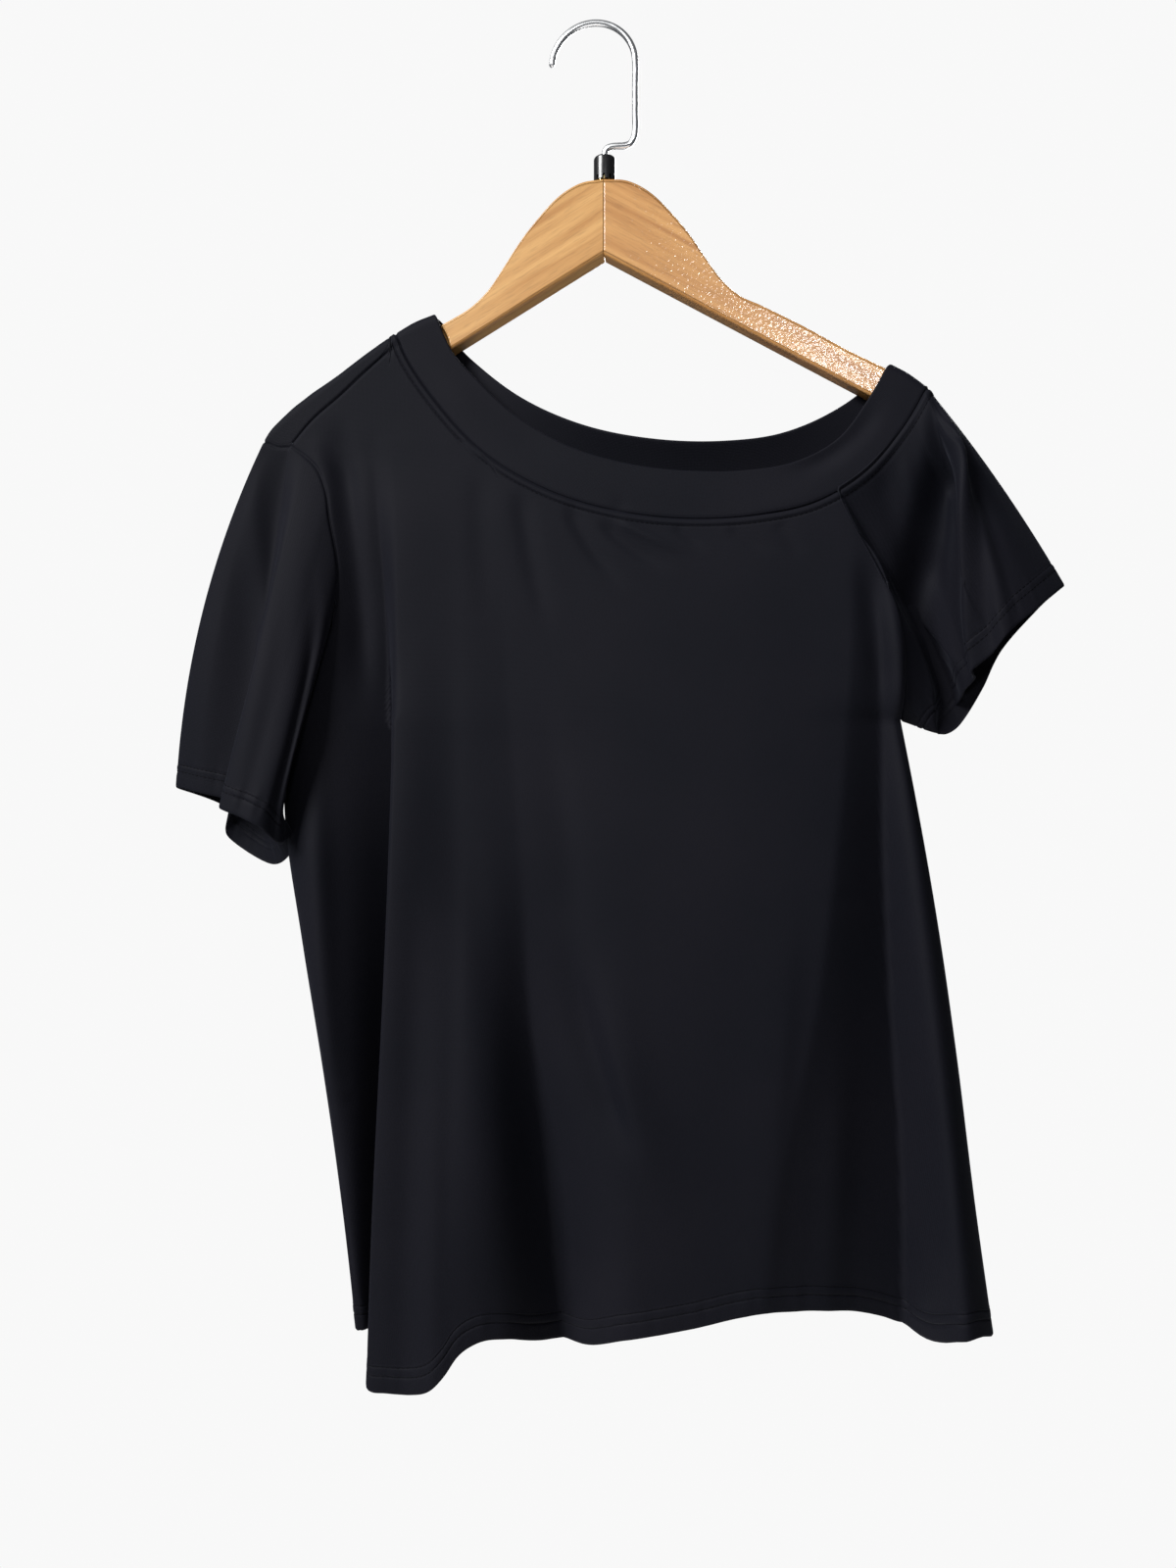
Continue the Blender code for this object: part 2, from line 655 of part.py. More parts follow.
def sleeve_grid(start_ring, lines):
    """Sleeve: a closed ring of columns round the arm, rows from the armhole to the hem. Each
    line runs straight from armhole to hem but for its bow, largest half way."""
    lines = np.asarray(lines)
    columns = SLEEVE_COLUMNS_A_LINE * len(lines)
    turn = np.arange(columns) / columns
    starts = np.interp(turn * len(lines), np.arange(len(lines) + 1), np.append(lines[:, 0], 1.0))
    start = at_fraction(start_ring, starts)
    hem = ring_spline(lines[:, 1:4], turn)
    bow = ring_spline(lines[:, 4:7], turn)
    down = np.linspace(0.0, 1.0, SLEEVE_ROWS + 1)[:, None, None]
    return start * (1.0 - down) + hem * down + 4.0 * down * (1.0 - down) * bow


def board(name, outline, direction, finish, collection):
    """One half of the hanger: its outline as a flat face, thickened, with rounded edges."""
    shape = bmesh.new()
    half = BOARD_THICKNESS / 2.0
    start = HANGER_X + direction * MITRE_GAP / 2.0
    corners = [shape.verts.new(((start + direction * x) * MM, half * MM, z * MM)) for x, z in outline]
    shape.faces.new(corners if direction > 0.0 else corners[::-1])
    mesh = bpy.data.meshes.new(name)
    shape.to_mesh(mesh)
    shape.free()
    made = bpy.data.objects.new(name, mesh)
    made.data.materials.append(finish)
    collection.objects.link(made)
    thickness = made.modifiers.new("Thickness", "SOLIDIFY")
    thickness.thickness = BOARD_THICKNESS * MM
    thickness.offset = -1.0
    rounding = made.modifiers.new("Rounding", "BEVEL")
    rounding.width = BOARD_ROUNDING * MM
    rounding.segments = 2
    rounding.limit_method = "ANGLE"
    rounding.angle_limit = math.radians(50.0)
    return made


def hook(name, finish, collection):
    """Wire from the tip over the crown, down the leg, in along the shoulder and down the stem."""
    crown_z = WIRE_RADIUS - CROWN_RADIUS
    turn = np.linspace(math.pi, 0.0, 15)
    crown = [(CROWN_RADIUS * math.cos(a), crown_z + CROWN_RADIUS * math.sin(a)) for a in turn]
    leg = [(CROWN_RADIUS, -50.0), (CROWN_RADIUS, HOOK_LEG_END_Z)]
    elbow = [(CROWN_RADIUS - 0.9, -71.0), (CROWN_RADIUS - 4.5, HOOK_SHOULDER_Z)]
    stem = [(HANGER_X + 4.5, HOOK_SHOULDER_Z), (HANGER_X + 1.0, -76.6), (HANGER_X, -80.2)]
    foot = [(HANGER_X, CAP_FOOT_Z)]
    route = [*crown, *leg, *elbow, *stem, *foot]
    curve = bpy.data.curves.new(name, "CURVE")
    curve.dimensions = "3D"
    curve.bevel_depth = WIRE_RADIUS * MM
    curve.bevel_resolution = 2
    curve.use_fill_caps = True
    path = curve.splines.new("POLY")
    path.points.add(len(route) - 1)
    for point, (x, z) in zip(path.points, route):
        point.co = (x * MM, 0.0, z * MM, 1.0)
    made = bpy.data.objects.new(name, curve)
    made.data.materials.append(finish)
    collection.objects.link(made)
    return made


def turned(name, profile, finish, collection, steps=TURNED_STEPS):
    """A turned piece on the stem: profile points are radius, z, down the outer side and up the bore."""
    mesh = bpy.data.meshes.new(name)
    points = [(radius * MM, 0.0, z * MM) for radius, z in profile]
    count = len(points)
    mesh.from_pydata(points, [(i, (i + 1) % count) for i in range(count)], [])
    made = bpy.data.objects.new(name, mesh)
    made.location.x = HANGER_X * MM
    made.data.materials.append(finish)
    collection.objects.link(made)
    screw = made.modifiers.new("Turn", "SCREW")
    screw.steps = steps
    screw.render_steps = steps
    screw.use_merge_vertices = True
    screw.merge_threshold = 0.00001
    screw.use_smooth_shade = True
    return made


def cap_with_slots(finish, collection, cutters):
    """Size cap: a turned sleeve over the ferrule, its skirt slotted all round."""
    profile = (
        (CAP_RADIUS - CAP_CHAMFER, CAP_TOP_Z),
        (CAP_RADIUS - 0.3 * CAP_CHAMFER, CAP_TOP_Z - 0.35 * CAP_CHAMFER),
        (CAP_RADIUS, CAP_TOP_Z - CAP_CHAMFER),
        (CAP_RADIUS, CAP_FOOT_Z),
        (CAP_SKIRT_RADIUS, CAP_FOOT_Z),
        (CAP_SKIRT_RADIUS, CAP_FOOT_Z + CAP_SKIRT_HEIGHT),
        (CAP_BORE_RADIUS, CAP_FOOT_Z + CAP_SKIRT_HEIGHT),
        (CAP_BORE_RADIUS, CAP_TOP_Z),
    )
    cap = turned("size_cap", profile, finish, collection, steps=CAP_STEPS)
    shape = bmesh.new()
    for number in range(SLOT_COUNT):
        angle = -math.pi / 2.0 + 2.0 * math.pi * number / SLOT_COUNT
        made = bmesh.ops.create_cube(shape, size=1.0)["verts"]
        size = (2.0 * SLOT_DEPTH * MM, SLOT_WIDTH * MM, 2.0 * SLOT_HEIGHT * MM)
        bmesh.ops.scale(shape, vec=size, verts=made)
        bmesh.ops.translate(shape, vec=(CAP_RADIUS * MM, 0.0, 0.0), verts=made)
        turn = (math.cos(angle), math.sin(angle))
        for vert in made:
            x, y = vert.co.x, vert.co.y
            vert.co.x = HANGER_X * MM + x * turn[0] - y * turn[1]
            vert.co.y = x * turn[1] + y * turn[0]
            vert.co.z += CAP_FOOT_Z * MM
    mesh = bpy.data.meshes.new("cap_slots")
    shape.to_mesh(mesh)
    shape.free()
    slots = bpy.data.objects.new("cap_slots", mesh)
    slots.hide_render = True
    slots.display_type = "WIRE"
    cutters.objects.link(slots)
    cut = cap.modifiers.new("Slots", "BOOLEAN")
    cut.operation = "DIFFERENCE"
    cut.object = slots
    return cap


def ferrule(finish, collection):
    """Metal ferrule that holds the wire in the board, inside the cap's skirt."""
    top = CAP_FOOT_Z + FERRULE_HEIGHT
    profile = (
        (FERRULE_RADIUS, top),
        (FERRULE_RADIUS, CAP_FOOT_Z),
        (CAP_BORE_RADIUS, CAP_FOOT_Z),
        (CAP_BORE_RADIUS, top),
    )
    return turned("ferrule", profile, finish, collection)


def build():
    clear_scene()
    parts = new_collection("Off_shoulder_t_shirt_on_hanger")
    cutters = new_collection("Cutters", hidden=True)
    jersey = material("Black_jersey", (0.013, 0.014, 0.019), 0.85)
    wood = material("Lacquered_beech", (0.62, 0.36, 0.15), 0.32)
    chrome = material("Chromed_wire", (0.72, 0.72, 0.74), 0.16, 1.0)
    brass = material("Brass", (0.70, 0.52, 0.22), 0.3, 1.0)
    plastic = material("Black_plastic", (0.012, 0.012, 0.013), 0.3)

    left, right = FRONT_ARMHOLE_LEFT, armhole(FRONT_ARMHOLE_RIGHT, BAND_FRONT)
    front = panel_grid(-1, top_edge(-1, right[0]), left, right, FRONT_HEM)
    front = pull_in(front, SIDE_SEAM_GAP, SIDE_SEAM_GAP)
    to_mesh("front", front, jersey, JERSEY_WALL, parts)

    left, right = BACK_ARMHOLE_LEFT, armhole(BACK_ARMHOLE_RIGHT, BAND_BACK)
    back = panel_grid(1, top_edge(1, right[0]), left, right, BACK_HEM)
    back = pull_in(back, SIDE_SEAM_GAP, SIDE_SEAM_GAP)
    to_mesh("back", back[:, ::-1], jersey, JERSEY_WALL, parts)

    to_mesh("neckband", band_grid(), jersey, BAND_WALL, parts, closed=True)

    sleeve = sleeve_grid(left_armhole(), LEFT_SLEEVE)
    to_mesh("sleeve_left", sleeve[:, ::-1], jersey, JERSEY_WALL, parts, closed=True)
    sleeve = sleeve_grid(right_armhole(), RIGHT_SLEEVE)
    to_mesh("sleeve_right", sleeve, jersey, JERSEY_WALL, parts, closed=True)

    board("hanger_left", LEFT_BOARD, -1.0, wood, parts)
    board("hanger_right", RIGHT_BOARD, 1.0, wood, parts)
    hook("hook", chrome, parts)
    cap_with_slots(plastic, parts, cutters)
    ferrule(brass, parts)


build()
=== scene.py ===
"""An off-shoulder t-shirt in heavy black jersey, hanging from a flat wooden hanger.

The shirt faces -Y with +Z up, and the inside of the hook's crown is the origin. Left and right are
the viewer's: the plain set-in sleeve is on the left, and on the right the neckband runs over the top
of the sleeve. Tables and sizes are in millimetres, and MM turns them into metres.
"""

import math

import bpy
import numpy as np
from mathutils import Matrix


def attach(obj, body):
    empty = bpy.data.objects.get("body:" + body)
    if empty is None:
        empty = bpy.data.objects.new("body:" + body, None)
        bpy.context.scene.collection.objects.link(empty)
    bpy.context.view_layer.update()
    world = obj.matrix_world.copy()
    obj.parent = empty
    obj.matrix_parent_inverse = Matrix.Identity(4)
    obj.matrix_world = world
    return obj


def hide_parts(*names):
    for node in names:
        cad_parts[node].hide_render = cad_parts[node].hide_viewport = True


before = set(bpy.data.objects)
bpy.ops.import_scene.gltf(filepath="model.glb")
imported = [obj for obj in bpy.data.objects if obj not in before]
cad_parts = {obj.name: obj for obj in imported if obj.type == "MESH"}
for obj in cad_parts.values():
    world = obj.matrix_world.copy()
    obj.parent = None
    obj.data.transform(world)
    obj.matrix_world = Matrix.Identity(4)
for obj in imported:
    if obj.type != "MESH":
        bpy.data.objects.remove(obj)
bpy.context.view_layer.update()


# Front panel
# The front is cut in one piece from heavy cotton jersey. It is overlocked to the neckband, to the
# back at shoulder and sides and to both sleeves, and its bottom edge is turned up once and sewn
# with a twin needle.

MM = 0.001

# Least length that anything is divided by
LEAST_LENGTH = 1e-9
JERSEY_THICKNESS = 1.1
UNDERARM_Z = -433.0
SIDE_ROUNDNESS = 2.5

# The middle of the body takes on the closed tube's section above the underarm, and its edges keep
# their own opening: depths below the crown, and shares of the half width, between which it changes
MIDDLE_ROUNDS = (300.0, 425.0)
MIDDLE_TO_EDGE = (0.62, 0.97)

# The ridges and troughs end at the sides as (1 - share ** sharpness) ** power
LINE_END_SHARPNESS = 8
LINE_END_POWER = 0.3

# The cloth goes over the hanger's arm as half an ellipse: its rise, and the length of a quarter
OVER_ARM_RISE = 7.5
OVER_ARM_QUARTER = 13.4

# Top line of the cloth over the two arms: x, z
CREST_LINE = (
    (-214.0, -262.0),
    (-209.0, -251.0),
    (-196.0, -236.0),
    (-182.0, -225.0),
    (-162.0, -212.0),
    (-145.0, -200.0),
    (-128.0, -189.0),
    (-113.0, -181.0),
    (-100.0, -176.0),
    (176.0, -215.0),
    (191.0, -224.0),
    (199.0, -230.0),
    (205.0, -235.0),
    (214.0, -244.0),
)

# Neckband, front half, from the left arm to the right arm: folded edge x, z, then seam x, z.
# None stands for the crest line's own height.
BAND_FRONT = (
    (-101.0, None, -126.0, None),
    (-88.0, -201.0, -114.0, -209.0),
    (-72.0, -220.0, -95.0, -236.0),
    (-49.0, -242.0, -68.0, -265.0),
    (-15.0, -263.0, -28.0, -290.0),
    (25.0, -276.0, 18.0, -305.0),
    (61.0, -281.0, 62.0, -310.5),
    (94.0, -281.5, 101.0, -309.0),
    (123.0, -277.0, 135.0, -302.0),
    (148.0, -264.0, 164.0, -285.0),
    (166.0, -241.0, 187.0, -258.0),
    (182.0, None, 204.0, None),
)

# Shoulder seam on the front of the left shoulder, up to the crest: x, z. The stitched line leaves
# this edge near the neckband and meets the band in front of the crest.
SHOULDER_EDGE = (
    (-191.0, -258.0),
    (-178.0, -243.0),
    (-159.0, -227.0),
    (-142.0, -212.0),
    (-133.0, -203.5),
    (-128.0, -196.0),
    (-126.0, None),
)
SHOULDER_LINE = SHOULDER_EDGE[:4] + (
    (-133.0, -204.8),
    (-125.5, -199.0),
    (-120.5, -195.5),
)

# Edges of the panel, downwards: x, z. Above the underarm they are the armhole seams.
FRONT_ARMHOLE_LEFT = (
    (-191.0, -258.0),
    (-177.0, -269.0),
    (-168.0, -286.0),
    (-165.0, -304.0),
    (-160.0, -339.0),
    (-164.0, -366.0),
    (-178.0, -400.0),
    (-203.0, UNDERARM_Z),
)
FRONT_ARMHOLE_RIGHT = (
    (149.0, None),
    (157.0, -313.0),
    (172.0, -341.0),
    (182.0, -362.0),
    (187.0, -385.0),
    (188.0, -408.0),
    (187.0, UNDERARM_Z),
)
SIDE_LEFT = (
    (-203.0, UNDERARM_Z),
    (-199.0, -500.0),
    (-187.0, -570.0),
    (-172.0, -650.0),
    (-158.0, -740.0),
    (-146.0, -840.0),
)
SIDE_RIGHT = (
    (187.0, UNDERARM_Z),
    (197.0, -486.0),
    (209.0, -562.0),
    (218.0, -632.0),
    (229.0, -725.0),
    (240.0, -800.0),
)
FRONT_HEM = (
    (-148.0, -814.0),
    (-135.0, -814.5),
    (-125.0, -816.5),
    (-119.5, -826.0),
    (-115.0, -830.5),
    (-104.0, -832.0),
    (-91.0, -831.5),
    (-81.0, -826.0),
    (-74.5, -818.0),
    (-68.0, -807.5),
    (-59.0, -800.5),
    (-44.0, -800.5),
    (-26.0, -810.5),
    (-7.0, -814.0),
    (23.0, -804.0),
    (46.0, -799.3),
    (68.0, -795.0),
    (93.0, -788.8),
    (104.0, -786.8),
    (124.0, -787.6),
    (143.0, -789.0),
    (165.0, -794.0),
    (178.0, -799.0),
    (188.0, -804.0),
    (197.0, -806.0),
    (213.0, -795.5),
    (226.0, -794.5),
    (240.0, -801.5),
)

# How the body's tube opens, downwards: z, y of the left edge, y of the right edge, depth of the
# front and of the back from there, and how open the edge is (1 at an armhole, 0 at a side seam)
BODY_DEPTHS = (
    (-170.0, 0.0, 0.0, 9.6, 9.6, 1.0),
    (-250.0, 0.0, 0.0, 9.8, 9.8, 1.0),
    (-300.0, 0.0, 0.0, 13.0, 12.0, 1.0),
    (-350.0, 3.5, 0.3, 16.5, 14.0, 0.8),
    (-400.0, 8.0, 1.2, 20.0, 17.0, 0.55),
    (-424.0, 10.0, 1.8, 21.8, 18.3, 0.28),
    (UNDERARM_Z, 10.7, 2.0, 22.4, 18.8, 0.0),
    (-520.0, 8.0, 4.0, 26.0, 22.0, 0.0),
    (-640.0, 2.0, 6.0, 27.0, 26.0, 0.0),
    (-740.0, -2.0, 8.0, 26.0, 30.0, 0.0),
    (-840.0, -2.0, 8.0, 24.0, 32.0, 0.0),
)

# Ridges and troughs of the front from left to right. Each has a sharpness (0 rounded, 1 a crisp
# line, more a pinched one) and its way down: z, x, height outwards.
FRONT_LINES = (
    (0.0, ((-300.0, -205.0, 0.0), (-433.0, -205.0, 9.0), (-600.0, -184.0, 11.0), (-850.0, -150.0, 6.0))),
    (1.3, (
        (-250.0, -138.0, 0.0),
        (-300.0, -135.0, -3.0),
        (-380.0, -130.0, -11.0),
        (-433.0, -127.5, -18.0),
        (-520.0, -125.0, -28.0),
        (-600.0, -124.0, -33.0),
        (-700.0, -124.0, -34.0),
        (-850.0, -124.0, -30.0),
    )),
    (0.0, (
        (-250.0, -124.0, 0.0),
        (-300.0, -122.0, 1.0),
        (-380.0, -119.5, 5.0),
        (-433.0, -118.0, 10.0),
        (-520.0, -115.5, 16.0),
        (-600.0, -114.5, 20.0),
        (-700.0, -114.0, 25.5),
        (-850.0, -113.0, 33.0),
    )),
    (0.0, (
        (-300.0, -84.0, 0.0),
        (-433.0, -80.0, 3.0),
        (-520.0, -76.0, 5.0),
        (-600.0, -74.0, 12.0),
        (-700.0, -74.0, 21.5),
        (-850.0, -76.0, 32.0),
    )),
    (1.0, (
        (-300.0, -58.0, 0.0),
        (-433.0, -50.0, 0.0),
        (-520.0, -42.0, -1.0),
        (-600.0, -38.0, -8.0),
        (-700.0, -28.0, -15.0),
        (-770.0, -22.0, -17.0),
        (-850.0, -13.0, -15.0),
    )),
    (0.0, ((-300.0, 20.0, 0.0), (-433.0, 22.0, 1.5), (-600.0, 26.0, 4.0), (-850.0, 30.0, 6.0))),
    (0.75, (
        (-300.0, 158.0, 0.0),
        (-433.0, 154.0, 1.0),
        (-520.0, 146.0, 2.0),
        (-600.0, 136.0, 2.0),
        (-700.0, 116.0, 1.0),
        (-850.0, 102.0, -1.0),
    )),
    (1.0, (
        (-300.0, 170.0, 0.0),
        (-433.0, 175.0, -8.0),
        (-520.0, 177.0, -16.0),
        (-600.0, 181.0, -23.0),
        (-700.0, 188.0, -29.0),
        (-850.0, 190.0, -29.0),
    )),
    (0.0, (
        (-300.0, 184.0, 0.0),
        (-433.0, 190.0, 5.0),
        (-520.0, 197.0, 12.0),
        (-600.0, 204.0, 17.0),
        (-700.0, 212.0, 22.0),
        (-850.0, 220.0, 24.0),
    )),
    (0.0, ((-300.0, 197.0, 0.0), (-600.0, 222.0, 12.0), (-850.0, 246.0, 16.0))),
)

# Where the folds lean over as they fall: z and x at the start, x at the hem, shift to the right at
# the hem, left and right half width
FRONT_LEANS = (
    (-330.0, -122.0, -113.0, -17.0, 22.0, 42.0),
    (-480.0, 196.0, 216.0, 5.0, 24.0, 22.0),
)

# How a fold grows, from 0 at its start to 1 at the hem: the power of its growth, the most that it
# may grow, and its width at the start as a multiple of that at the hem
FOLD_GROWTH = 1.2
FOLD_REACH = 1.1
FOLD_WIDTH_AT_START = 1.5

# Creases and soft hollows: x, z at the top, x, z at the bottom, sideways bow, height, left and
# right half width, and the shares of the length over which it fades in and out
FRONT_CREASES = (
    (-162.0, -236.0, -146.0, -430.0, 3.0, -5.0, 10.0, 8.0, 0.25, 0.3),
    (-174.0, -250.0, -166.0, -330.0, 2.0, 1.6, 7.0, 6.0, 0.3, 0.4),
    (-128.0, -262.0, -132.0, -400.0, -3.0, -1.6, 14.0, 9.0, 0.5, 0.5),
    (-176.0, -440.0, -162.0, -740.0, 0.0, 4.0, 10.0, 8.0, 0.3, 0.4),
    (-104.0, -480.0, -94.0, -850.0, 2.0, -2.0, 9.0, 10.0, 0.4, 0.0),
    (-86.0, -520.0, -80.0, -850.0, 0.0, 3.0, 9.0, 7.0, 0.9, 0.0),
    (-62.0, -520.0, -36.0, -850.0, -3.0, 7.0, 17.0, 12.0, 0.6, 0.0),
    (-80.0, -480.0, -54.0, -640.0, 3.0, -1.2, 12.0, 9.0, 0.4, 0.4),
    (-36.0, -400.0, -4.0, -600.0, 4.0, -1.8, 13.0, 9.0, 0.5, 0.4),
    (-18.0, -555.0, 29.0, -702.0, -4.0, -5.0, 12.0, 7.0, 0.45, 0.3),
    (4.0, -560.0, 50.0, -740.0, -5.0, 3.0, 9.0, 16.0, 0.5, 0.5),
    (120.0, -520.0, 92.0, -850.0, 4.0, 2.0, 20.0, 8.0, 0.4, 0.0),
    (150.0, -600.0, 138.0, -850.0, 3.0, 2.0, 10.0, 10.0, 0.4, 0.0),
    (174.0, -345.0, 190.0, -450.0, 3.0, 3.0, 8.0, 4.0, 0.4, 0.4),
    (164.0, -330.0, 176.0, -440.0, 2.0, -3.0, 8.0, 6.0, 0.3, 0.4),
    (4.0, -310.0, 53.0, -344.0, -3.0, -1.4, 3.5, 5.0, 0.2, 0.5),
    (14.0, -309.0, 62.0, -332.0, -2.0, 1.2, 3.0, 3.5, 0.2, 0.5),
    (-16.0, -297.0, 24.0, -356.0, -4.0, -1.6, 4.5, 5.5, 0.2, 0.5),
    (-45.0, -285.0, -22.0, -388.0, -3.0, -1.6, 6.0, 7.0, 0.2, 0.5),
    (-70.0, -270.0, -58.0, -400.0, -3.0, -1.0, 8.0, 9.0, 0.2, 0.6),
    (50.0, -314.0, 72.0, -331.0, -1.0, -0.7, 3.0, 3.5, 0.2, 0.5),
    (82.0, -316.0, 112.0, -333.0, -1.5, -0.6, 3.5, 4.5, 0.2, 0.5),
    (112.0, -313.0, 130.0, -338.0, -1.0, -0.6, 5.0, 5.0, 0.2, 0.5),
    (134.0, -538.0, 166.0, -542.0, 0.0, -0.8, 2.0, 2.0, 0.4, 0.4),
    (-160.0, -668.0, -143.0, -672.0, 0.0, -0.8, 1.6, 1.6, 0.4, 0.4),
    (-163.0, -655.0, -146.0, -657.0, 0.0, -0.6, 1.6, 1.6, 0.4, 0.4),
)

# A crease fades in and out over at least this share of its length, and flattens where the body
# turns in to its sides, up to this share of the full depth
SHORTEST_FADE = 0.01
CREASES_FULL_FROM = 0.6

# Columns of the grid: places from each edge, close together, and between them a number of columns
# that crowd at the front's long fold (share of the width, spread and how much closer)
EDGE_COLUMNS = (0.0, 0.1, 0.4, 0.9, 1.6, 2.6, 3.8, 5.4, 7.4, 9.6, 12.0)
MIDDLE_COLUMNS = 200
CLOSE_COLUMNS = (0.13, 0.085, 2.2)
CROWD_SAMPLES = 801

# Rows of the grid: depths under the top edge, close together where it is sewn, even steps down to
# the underarm and on to the hem, and heights above the hem's fold, close together at its stitches
TOP_ROWS = (0.0, 0.25, 0.6, 1.0, 1.5)
TOP_ROW_STEP = 0.65
TOP_ROWS_DEPTH = 13.0
OVER_ARM_ROWS = 12
YOKE_ROWS = 52
BODY_ROWS = 84
HEM_ROWS = (
    (17.6, 17.0, 16.5, 16.1, 15.8, 15.5, 15.2, 14.9, 14.4, 13.0, 11.4)
    + (10.7, 10.3, 10.0, 9.7, 9.3, 8.6, 7.0, 5.0, 3.2, 1.8, 0.8, 0.3, 0.0)
)

# The rows over the arm end this far under the close ones, and under the arm's own turn; the even
# rows of the body end this far above those of the hem
TURN_ENDS_BELOW = 3.0
TURN_BELOW_ARM = 1.0
HEM_ROWS_GAP = 1.2

# The top edge: passes that bring each column to its height, points along the band's seam and the
# shoulder, and the gap that is left where these meet each other and the armhole
TOP_EDGE_PASSES = 40
SEAM_STATIONS = 200
SHOULDER_STATIONS = 60
JUNCTION_GAP = 0.2

# Seams: how far the two edges roll in where they meet, and over what distance
SEAM_ROLL = 0.9
SEAM_ROLL_WIDTH = 0.9
SIDE_SEAM_FROM_EDGE = 3.0

# Beside the neckband: the row of topstitching, and the padding by the allowance under it
TOPSTITCH_FROM_SEAM = 4.8
TOPSTITCH_RISE = 0.55
PADDING_RISES = (0.6, 1.9)
PADDING_FALLS_OVER = 1.3
STITCH_DENT = 0.55
STITCH_DENT_WIDTH = 0.6

# The turned hem: its two rows of stitches, how far it stands out and where that ends above them,
# how its fold is rounded, and the waves along it (rate, height, start)
HEM_STITCHES = (10.0, 15.5)
HEM_RISE = 0.3
HEM_ENDS = (0.5, 1.6)
HEM_ROUNDING = 0.5
HEM_ROUNDED_OVER = 1.0
HEM_WAVES = ((0.62, 1.0, 0.0), (0.41, 0.8, 1.3), (1.07, 0.6, 0.4))
HEM_WAVE_HEIGHT = 0.14
HEM_WAVE_REACH = 8.0


def spline(knots, values, at):
    """Smooth curve through the values: each span is a cubic whose end slopes are the mean slopes
    of the two spans that meet there."""
    knots = np.asarray(knots, float)
    values = np.asarray(values, float).reshape(len(knots), -1)
    at = np.clip(np.asarray(at, float), knots[0], knots[-1])
    steps = np.diff(knots)[:, None]
    slopes = np.diff(values, axis=0) / steps
    tangents = np.vstack([slopes[:1], np.zeros((len(knots) - 2, values.shape[1])), slopes[-1:]])
    before, after = steps[:-1], steps[1:]
    tangents[1:-1] = (slopes[:-1] * after + slopes[1:] * before) / (before + after)
    span = np.clip(np.searchsorted(knots, at.ravel(), side="right") - 1, 0, len(knots) - 2)
    width = steps[span]
    s = (at.ravel()[:, None] - knots[span][:, None]) / width
    start = values[span] * (1 + 2 * s) * (1 - s) ** 2 + tangents[span] * width * s * (1 - s) ** 2
    end = values[span + 1] * s**2 * (3 - 2 * s) + tangents[span + 1] * width * s**2 * (s - 1)
    return (start + end).reshape(*at.shape, values.shape[1])


def lengths(points):
    """Running length along a line of points."""
    return np.concatenate([[0.0], np.cumsum(np.linalg.norm(np.diff(points, axis=0), axis=1))])


def along(points, count):
    """Points spread evenly by length along a smooth curve through the given ones."""
    points = np.asarray(points, float)
    knots = lengths(points)
    return spline(knots, points, np.linspace(0.0, knots[-1], count))


def smooth_step(value, low, high):
    """0 below low, 1 above high, and a cubic with level ends between them."""
    s = np.clip((value - low) / (high - low), 0.0, 1.0)
    return s * s * (3.0 - 2.0 * s)


def crest_z(x):
    """Height of the cloth's top line over the arms, a smooth curve through CREST_LINE."""
    table = np.asarray(CREST_LINE)
    return spline(table[:, 0], table[:, 1], x)[..., 0]


def crest_height(x):
    """Height of the crest with the cloth unrolled upwards off the arm."""
    return crest_z(x) - OVER_ARM_RISE + OVER_ARM_QUARTER


def edge_x(armhole_line, side_line, z):
    """x of a panel's edge at a height: its armhole seam above the underarm, its side seam below."""
    above = spline(-armhole_line[:, 1], armhole_line[:, 0], -z)[..., 0]
    side_line = np.asarray(side_line)
    below = spline(-side_line[:, 1], side_line[:, 0], -z)[..., 0]
    return np.where(z >= UNDERARM_Z, above, below)


def fold_height(folds, x, z, hem_z):
    """Sum of the deep folds: each swells from its start to the hem, and falls off to both sides
    as a bell whose halves may differ."""
    total = np.zeros_like(x)
    for start_z, start_x, hem_x, height, left_width, right_width in folds:
        growth = np.clip((start_z - z) / (start_z - hem_z), 0.0, FOLD_REACH)
        offset = x - (start_x + (hem_x - start_x) * growth)
        widening = FOLD_WIDTH_AT_START + (1.0 - FOLD_WIDTH_AT_START) * growth
        width = np.where(offset < 0.0, left_width, right_width) * widening
        total += height * growth**FOLD_GROWTH * np.exp(-((offset / width) ** 2))
    return total


def line_height(lines, x, z):
    """Height between ridges and troughs that run down the cloth: at each height, a cubic from one
    line to the next, level at a rounded line and straight at a crisp one."""
    places = []
    for sharpness, way in lines:
        table = np.asarray(way)
        at = spline(-table[:, 0], table[:, 1:], -z)
        places.append((sharpness, at[..., 0], at[..., 1]))
    total = np.zeros_like(x)
    for (sharp0, x0, out0), (sharp1, x1, out1) in zip(places[:-1], places[1:]):
        s = np.clip((x - x0) / (x1 - x0), 0.0, 1.0)
        rise = s * s * (3.0 - 2.0 * s) + sharp0 * s * (1.0 - s) ** 2 + sharp1 * s * s * (s - 1.0)
        total += np.where((x >= x0) & (x < x1), out0 + (out1 - out0) * rise, 0.0)
    return total


